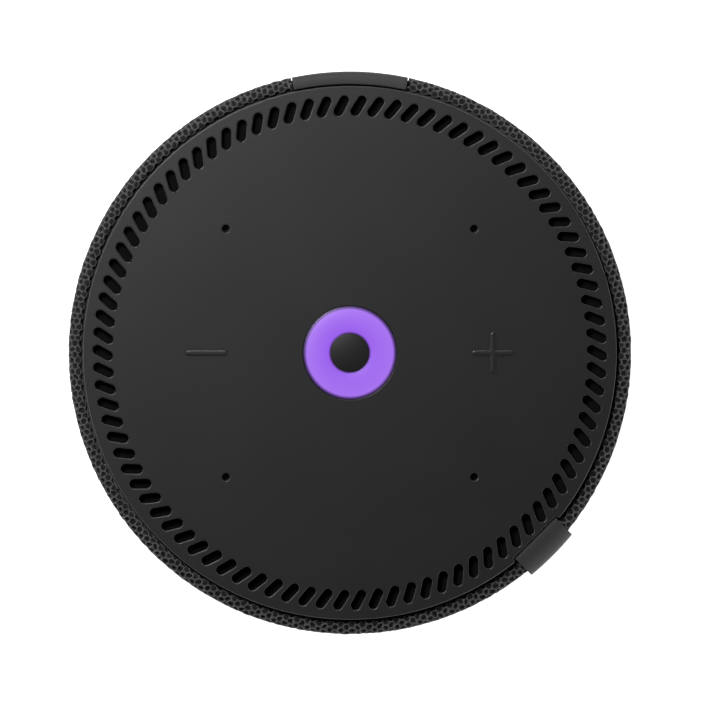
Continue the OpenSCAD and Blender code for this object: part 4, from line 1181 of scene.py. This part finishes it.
def build_knit(name, sleeve, first_row, rows):
    """Rows of cells laid out flat, loosened a little, then wrapped round the body."""
    across = TURN * BODY_R / sleeve.cells
    start, end = sleeve_ends(KNIT_GAP)
    columns = math.ceil((end - start) / TURN * sleeve.cells) + 2
    pattern = Pattern(
        name + "_knit",
        {
            "Columns": columns,
            "Rows": rows,
            "First row": first_row,
            "Across": across,
            "Row": sleeve.row,
            "Unevenness": sleeve.uneven,
        },
    )
    wide, tall = pattern.size("Across"), pattern.size("Row")
    index = pattern.node("GeometryNodeInputIndex")
    line = (index / pattern.size("Columns") + 0.0001).floor()
    column = index - line * pattern.size("Columns")
    row = line + pattern.size("First row")
    seats = pattern.seats(
        pattern.size("Columns") * pattern.size("Rows"),
        pattern.place((column + (row % 2) * 0.5) * wide, row * tall, 0),
    )
    cells = pattern.set_on(seats, pattern.base)
    cells = pattern.node("GeometryNodeRealizeInstances", {"Geometry": cells})
    cells = pattern.merged(cells, 0.03 * MM)
    here = pattern.node("GeometryNodeInputPosition")
    x, y, dip = pattern.parts(here)
    spot = pattern.place(x / wide, y / tall, dip / MM)
    values = {"Geometry": cells, "Name": "weave", "Value": spot}
    weave = pattern.node("GeometryNodeStoreNamedAttribute", values, data_type="FLOAT_VECTOR")
    values = {"Vector": here, "Scale": 0.75 / MM, "Detail": 1.0}
    stray = pattern.parts(pattern.node("ShaderNodeTexNoise", values, out="Color"))
    loose = pattern.size("Unevenness") * 2
    aside, along, deeper = ((shift - 0.5) * loose for shift in stray)
    x, y, dip = x + aside, y + along, dip + deeper * 0.4
    turn = x / BODY_R + start
    tuck = (start - turn).at_least(0) + (turn - end).at_least(0)
    depth = dip - (tuck * BODY_R).at_most(KNIT_TUCK)
    radius, height, facing = sleeve_path(sleeve).at(y)
    radius = radius + depth * facing.sin()
    height = height - depth * facing.cos()
    turn = turn.between(start, end)
    spot = pattern.place(turn.cos() * radius, turn.sin() * radius, height)
    wrapped = pattern.node("GeometryNodeSetPosition", {"Geometry": weave, "Position": spot})
    wrapped = pattern.shaded(wrapped, True)
    return pattern.grow(name, knit_cell(sleeve), wrapped, finish_for("sleeve_fabric"))


def build_backing(sleeve):
    """The smooth dark sheet that shows through the cells."""
    path = sleeve_path(sleeve)
    start, end = sleeve_ends(0.0)
    around, along = 300, 90
    across = TURN * BODY_R / sleeve.cells
    shape = bmesh.new()
    grid, weave = [], []
    for i in range(around + 1):
        turn = start + (end - start) * i / around
        line = []
        for k in range(along + 1):
            gone = path.length() * k / along
            radius, height, facing = path.at(gone)
            radius -= sleeve.under * math.sin(facing)
            height += sleeve.under * math.cos(facing)
            line.append(
                shape.verts.new((radius * math.cos(turn), radius * math.sin(turn), height))
            )
            weave += [(turn - start) * BODY_R / across, gone / sleeve.row, 0.0]
        grid.append(line)
    for one, two in zip(grid, grid[1:]):
        for k in range(along):
            shape.faces.new((one[k], two[k], two[k + 1], one[k + 1])).smooth = True
    mesh = bpy.data.meshes.new("sleeve_backing")
    shape.to_mesh(mesh)
    shape.free()
    mesh.attributes.new("weave", "FLOAT_VECTOR", "POINT").data.foreach_set("vector", weave)
    sheet = placed("sleeve_backing_plain", mesh)
    solid = sheet.modifiers.new("thickness", "SOLIDIFY")
    solid.thickness = sleeve.backing
    solid.offset = -1
    return settled(sheet, "sleeve_backing")


class HUB_OT_sleeve(bpy.types.Operator):
    """Builds the knitted sleeve and its dark backing"""

    bl_idname = "hub.sleeve"
    bl_label = "Fabric sleeve"

    def execute(self, context):
        sleeve = context.scene.hub_sleeve
        path = sleeve_path(sleeve)
        rows = math.ceil(path.length() / sleeve.row) + 1
        third = math.ceil(rows / 3)
        knits = [
            build_knit("sleeve_knit_" + name, sleeve, third * k, min(third, rows - third * k))
            for k, name in enumerate(("lower", "middle", "upper"))
        ]
        for knit in knits:
            dress(knit, "sleeve_fabric", HUB, "fabric_sleeve")
        backing = build_backing(sleeve)
        dress(backing, "sleeve_fabric", HUB, "fabric_sleeve", finish="backing")
        path.length()
        return {"FINISHED"}


# ---------------------------------------------------------------- trim


def strip_section(trim):
    """The rear strip's section: a rounded top edge outside, and room for the frame inside."""
    shoulder_mid = BODY_R - SHOULDER_R
    room = SHOULDER_R - FABRIC_T + 0.06 * MM
    fine = trim.fine_edge
    lip_turn = math.acos((LIP_R - shoulder_mid) / room)
    frame_wall = shoulder_mid + room
    frame_foot = HEM_Z + FABRIC_T - 0.04 * MM
    section = arc((HEM_R + fine, HEM_Z + fine), fine, 2 * QUARTER, 3 * QUARTER, 3)
    section += arc((BODY_R - HEM_ROUND, HEM_Z + HEM_ROUND), HEM_ROUND, -QUARTER, 0, 8)
    top_round = trim.strip_round
    section += arc((BODY_R - top_round, STRIP_TOP - top_round), top_round, 0, QUARTER, 10)
    section += arc((LIP_R + fine, STRIP_TOP - fine), fine, QUARTER, 2 * QUARTER, 3)
    section += arc((shoulder_mid, SHOULDER_Z), room, lip_turn, 0, 6)
    section += [(frame_wall, frame_foot), (HEM_R, frame_foot)]
    return section


def build_strip(trim):
    """The rear strip, with openings for the power socket and the slider."""
    strip = revolved(
        "rear_strip", strip_section(trim), QUARTER - STRIP_HALF, QUARTER + STRIP_HALF, 48
    )
    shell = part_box("usb_socket_shell")
    gap = 0.3 * MM
    wide, tall = (shell[1][axis] - shell[0][axis] + gap for axis in (0, 2))
    socket = prism(
        "socket_tool", track(wide, tall, 16), 9 * MM, facing_rear(BODY_R - 5 * MM, SOCKET_Z)
    )
    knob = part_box("mute_slider")
    room = [knob[1][0] - knob[0][0] + MUTE_TRAVEL + gap, knob[1][2] - knob[0][2] + gap]
    slide = prism("slide_tool", brick(*room), 9 * MM, facing_rear(BODY_R - 5 * MM, SLIDER_Z))
    return rounded(combined("DIFFERENCE", strip, socket, slide), trim.fine_edge)


def build_tag(trim):
    """The fold-over tag: from the panel's seam, over the shoulder and down the side."""
    shoulder_mid = BODY_R - SHOULDER_R
    outer, inner = SHOULDER_R + TAG_T, SHOULDER_R + 0.02 * MM
    seam = PANEL_TOP - 2.3 * MM
    foot = SHOULDER_Z - trim.tag_drop
    inside = trim.tag_inside
    corner = 0.45 * MM
    across = 24
    section = [(inside, seam)]
    section += arc((inside + corner, PANEL_TOP - corner), corner, 2 * QUARTER, QUARTER, 6)
    section += arc((shoulder_mid, SHOULDER_Z), outer, QUARTER, 0, 24)
    section += [(shoulder_mid + outer, SHOULDER_Z - trim.tag_drop * k / 8) for k in range(1, 8)]
    section += [(shoulder_mid + outer, foot), (shoulder_mid + inner, foot)]
    section += arc((shoulder_mid, SHOULDER_Z), inner, 0, QUARTER, 24)
    section += [(inside + TAG_T, PANEL_TOP - TAG_T), (inside + TAG_T, seam)]
    shape = bmesh.new()
    rings = []
    for i in range(across + 1):
        aside = trim.tag_width * (i / across - 0.5)
        ring = []
        for radius, height in section:
            bulge = radius - math.sqrt(radius**2 - aside**2)
            eased = min(max((radius - inside) / TAG_T, 0), 1)
            ring.append(shape.verts.new((radius - bulge * eased, aside, height)))
        rings.append(ring)
    capped(shape, rings)
    shape.transform(Matrix.Rotation(TAG_ANGLE, 4, "Z"))
    return rounded(from_bmesh("fold_over_tag", shape), 0.2 * MM, 4, 40)


def build_knob():
    """The mute slider's knob, with three grip grooves in its face, and its stem."""
    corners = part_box("mute_slider")
    stem_back, face = corners[0][1], corners[1][1]
    left, right = corners[0][0], corners[1][0]
    middle = (left + right) / 2
    foot, tall = corners[0][2], corners[1][2] - corners[0][2]
    depth = face - BODY_R + FABRIC_T - 0.1 * MM
    groove, sunk, pitch = 0.4 * MM, 0.3 * MM, 1.1 * MM
    outline = [(left, face - depth), (right, face - depth), (right, face)]
    for k in (1, 0, -1):
        here = middle + k * pitch
        outline += [(here + groove / 2, face), (here + groove / 2, face - sunk)]
        outline += [(here - groove / 2, face - sunk), (here - groove / 2, face)]
    outline.append((left, face))
    knob = prism("mute_knob", outline, tall, Matrix.Translation((0, 0, foot)))
    wide = 1.6 * MM
    stem = prism(
        "mute_stem",
        brick(wide, wide),
        face - depth - stem_back,
        facing_rear(stem_back, SLIDER_Z, middle),
    )
    return [rounded(knob, 0.11 * MM), rounded(stem, 0.1 * MM, 2)]


def build_socket():
    """The power socket's drawn shell, and its tongue with two rows of contacts."""
    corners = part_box("usb_socket_shell")
    back, mouth = corners[0][1], corners[1][1]
    wide, tall = (corners[1][axis] - corners[0][axis] for axis in (0, 2))
    wall, floor = 0.3 * MM, 1.0 * MM
    shell = prism("socket_shell", track(wide, tall, 16), mouth - back, facing_rear(back, SOCKET_Z))
    hollow = prism(
        "socket_hollow",
        track(wide - 2 * wall, tall - 2 * wall, 16),
        mouth - back,
        facing_rear(back + floor, SOCKET_Z),
    )
    shell = rounded(combined("DIFFERENCE", shell, hollow), 0.08 * MM)
    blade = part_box("usb_socket_tongue")
    size = [blade[1][axis] - blade[0][axis] for axis in range(3)]
    tongue = prism(
        "socket_tongue", brick(size[0], size[2]), size[1], facing_rear(blade[0][1], SOCKET_Z)
    )
    return shell, rounded(tongue, 0.12 * MM), build_contacts(blade, size)


def build_contacts(blade, size):
    """Twelve contacts on each face of the tongue."""
    sizes = {"Contacts": 12, "Pitch": 0.5 * MM, "Width": 0.26 * MM, "Length": size[1] * 0.72}
    sizes |= {"Thickness": 0.06 * MM, "Level": size[2] / 2}
    pattern = Pattern("socket_contacts", sizes)
    index = pattern.node("GeometryNodeInputIndex")
    middle = (pattern.size("Contacts") - 1) / 2
    along = (index - middle) * pattern.size("Pitch")
    seats = pattern.seats(pattern.size("Contacts"), pattern.place(along, 0, 0))
    block = pattern.place(*(pattern.size(key) for key in ("Width", "Length", "Thickness")))
    row = pattern.set_on(seats, pattern.node("GeometryNodeMeshCube", {"Size": block}))
    deep = (blade[0][1] + blade[1][1]) / 2
    rows = [
        pattern.moved(row, pattern.place(0, deep, pattern.size("Level") * side + SOCKET_Z))
        for side in (-1, 1)
    ]
    empty = bpy.data.meshes.new("contact_seat")
    rows = pattern.joined(*rows)
    return pattern.grow("socket_contacts", empty, rows, finish_for("contact_gold"))


class HUB_OT_strip(bpy.types.Operator):
    """Builds the rear strip"""

    bl_idname = "hub.strip"
    bl_label = "Rear strip"

    def execute(self, context):
        dress(build_strip(context.scene.hub_trim), "strip_plastic", HUB, "rear_panel")
        return {"FINISHED"}


class HUB_OT_tag(bpy.types.Operator):
    """Builds the fold-over side tag"""

    bl_idname = "hub.tag"
    bl_label = "Side tag"

    def execute(self, context):
        dress(build_tag(context.scene.hub_trim), "tag_rubber", HUB, "side_tag")
        return {"FINISHED"}


class HUB_OT_slider(bpy.types.Operator):
    """Builds the microphone mute slider"""

    bl_idname = "hub.slider"
    bl_label = "Mute slider"

    def execute(self, context):
        for piece in build_knob():
            dress(piece, "slider_plastic", "slider", "mute_slider")
        return {"FINISHED"}


class HUB_OT_socket(bpy.types.Operator):
    """Builds the power socket with its tongue and contacts"""

    bl_idname = "hub.socket"
    bl_label = "Power socket"

    def execute(self, context):
        shell, tongue, contacts = build_socket()
        dress(shell, "socket_steel", HUB, "usb_socket_shell")
        dress(tongue, "socket_plastic", HUB, "usb_socket_tongue")
        dress(contacts, "socket_steel", HUB, "usb_socket_tongue", finish="contact_gold")
        return {"FINISHED"}


# ---------------------------------------------------------------- base


def build_cover(trim):
    """The base cover: a shallow dish with a groove for the foot ring and a rounded rim."""
    foot, lip = low("base_cover", "z"), 3.8 * MM
    rim = high("base_cover", "x")
    sink = high("foot_ring", "z")
    outer = high("foot_ring", "x") + 0.1 * MM
    inner = trim.foot_inner - 0.1 * MM
    fine, edge = 0.25 * MM, 1.8 * MM
    section = [(0, foot)]
    section += arc((inner - fine, foot + fine), fine, -QUARTER, 0, 4)
    section += [(inner, sink), (outer, sink)]
    section += arc((outer + fine, foot + fine), fine, 2 * QUARTER, 3 * QUARTER, 4)
    section += arc((rim - edge, foot + edge), edge, -QUARTER, 0, 10)
    section += arc((rim - fine, lip - fine), fine, 0, QUARTER, 4)
    section.append((0, lip))
    return turned("base_dish", section, 256)


def build_foot(trim):
    """The rubber foot ring, with round edges and grip grooves in its sole."""
    outer, top = high("foot_ring", "x"), high("foot_ring", "z")
    inner, fine = trim.foot_inner, 0.35 * MM
    groove = 0.2 * MM
    section = [(inner, top)] + arc((inner + fine, fine), fine, 2 * QUARTER, 3 * QUARTER, 4)
    pitch = (outer - inner) / (trim.foot_grooves + 1)
    for k in range(trim.foot_grooves):
        section += arc((inner + pitch * (k + 1), 0), groove, 2 * QUARTER, 0, 6)
    section += arc((outer - fine, fine), fine, -QUARTER, 0, 4) + [(outer, top)]
    return revolved("foot_ring_rubber", section, steps=256)


class HUB_OT_base(bpy.types.Operator):
    """Builds the base cover and the foot ring"""

    bl_idname = "hub.base"
    bl_label = "Base"

    def execute(self, context):
        trim = context.scene.hub_trim
        dress(build_cover(trim), "base_plastic", HUB, "base_cover")
        dress(build_foot(trim), "foot_rubber", HUB, "foot_ring")
        return {"FINISHED"}


# ---------------------------------------------------------------- inside


class HUB_OT_inside(bpy.types.Operator):
    """Gives every part inside the hub its finish"""

    bl_idname = "hub.inside"
    bl_label = "Inner parts"

    def execute(self, context):
        for part in frame["record"]["subparts"]:
            solid = frame["nodes"][part["node"]]
            finish = finish_for(part["material_slot"])
            if not solid.material_slots:
                raise RuntimeError(f"{part['node']} has no material slot")
            for place in solid.material_slots:
                place.material = finish
        return {"FINISHED"}


# ---------------------------------------------------------------- stage


def soft_light(name, place, size, power):
    """A square soft light that faces the hub."""
    lamp = bpy.data.lights.new(name, "AREA")
    lamp.size = size
    lamp.energy = power
    light = placed(name, lamp)
    light.location = place
    aim = Vector((0, 0, 0.05)) - Vector(place)
    light.rotation_euler = aim.to_track_quat("-Z", "Y").to_euler()


def build_floor(stage):
    """A wide pale floor."""
    shape = bmesh.new()
    half = 2.5
    corners = [(-half, -half), (half, -half), (half, half), (-half, half)]
    shape.faces.new([shape.verts.new((x, y, 0)) for x, y in corners])
    floor = from_bmesh("pale_floor", shape, smooth=False)
    finish = Finish("pale_floor", roughness=0.7, emission_strength=stage.floor)
    finish.set("Emission Color", (1.0, 1.0, 1.0))
    cloud = finish.noise(0.3, detail=3)
    finish.set("Base Color", finish.shades(cloud, (0.88, 0.88, 0.88), (0.9, 0.9, 0.9)))
    floor.data.materials.append(finish.material)


def build_camera(stage):
    """A camera straight above, with the rear strip at the top of the picture."""
    lens = bpy.data.cameras.new("camera")
    lens.sensor_width = 36
    lens.lens = lens.sensor_width * stage.camera_height / stage.view_width
    lens.clip_start = 0.01
    lens.clip_end = 20
    camera = placed("camera", lens)
    camera.location = (*VIEW_CENTRE, SHOULDER_Z + stage.camera_height)
    bpy.context.scene.camera = camera


def build_air(stage):
    """Surroundings that are dark overhead, with pale walls that are brightest at the rear."""
    world = bpy.data.worlds.new("air")
    world.use_nodes = True
    air = Tree(world.node_tree)
    _, y, z = air.parts(air.node("ShaderNodeTexCoord", out="Generated"))
    wall = (1 - z / 0.75).between(0, 1)
    side = 0.64 + y * 0.12
    sky = world.node_tree.nodes["Background"].inputs
    sky["Color"].default_value = (1, 1, 1, 1)
    plug(world.node_tree, sky["Strength"], stage.air + wall * wall * side * stage.walls)
    return world


class HUB_OT_stage(bpy.types.Operator):
    """Sets out the floor, the soft lights and the camera"""

    bl_idname = "hub.stage"
    bl_label = "Stage"

    def execute(self, context):
        scene = context.scene
        stage = scene.hub_stage
        build_floor(stage)
        build_camera(stage)
        soft_light("key", (-0.125, 0.175, 0.42), 0.12, stage.key)
        soft_light("fill", (0.7, -0.65, 0.6), 0.8, stage.fill)
        scene.world = build_air(stage)
        scene.view_settings.view_transform = "Standard"
        scene.view_settings.look = "None"
        return {"FINISHED"}


# ---------------------------------------------------------------- add-on


class HUB_PT_sidebar(bpy.types.Panel):
    bl_label = "Smart home hub"
    bl_idname = "HUB_PT_sidebar"
    bl_space_type = "VIEW_3D"
    bl_region_type = "UI"
    bl_category = "Hub"

    def draw(self, context):
        column = self.layout.column()
        for group in SIZES:
            values = getattr(context.scene, group)
            for key in values.bl_rna.properties.keys():
                if key not in ("rna_type", "name"):
                    column.prop(values, key)
        for step in STEPS:
            column.operator(step.bl_idname)


SIZES = {
    "hub_colours": HubColours,
    "hub_panel": PanelSizes,
    "hub_sleeve": SleeveSizes,
    "hub_trim": TrimSizes,
    "hub_stage": StageSizes,
}
STEPS = (
    HUB_OT_stage,
    HUB_OT_inside,
    HUB_OT_panel,
    HUB_OT_window,
    HUB_OT_sleeve,
    HUB_OT_strip,
    HUB_OT_tag,
    HUB_OT_slider,
    HUB_OT_socket,
    HUB_OT_base,
)


def register():
    for group in SIZES.values():
        bpy.utils.register_class(group)
    for kind in (*STEPS, HUB_PT_sidebar):
        bpy.utils.register_class(kind)
    for name, group in SIZES.items():
        setattr(bpy.types.Scene, name, PointerProperty(type=group))


def unregister():
    for name in SIZES:
        delattr(bpy.types.Scene, name)
    for kind in (HUB_PT_sidebar, *reversed(STEPS), *SIZES.values()):
        bpy.utils.unregister_class(kind)


def main():
    register()
    for step in STEPS:
        group, name = step.bl_idname.split(".")
        getattr(getattr(bpy.ops, group), name)()


if __name__ == "__main__":
    main()
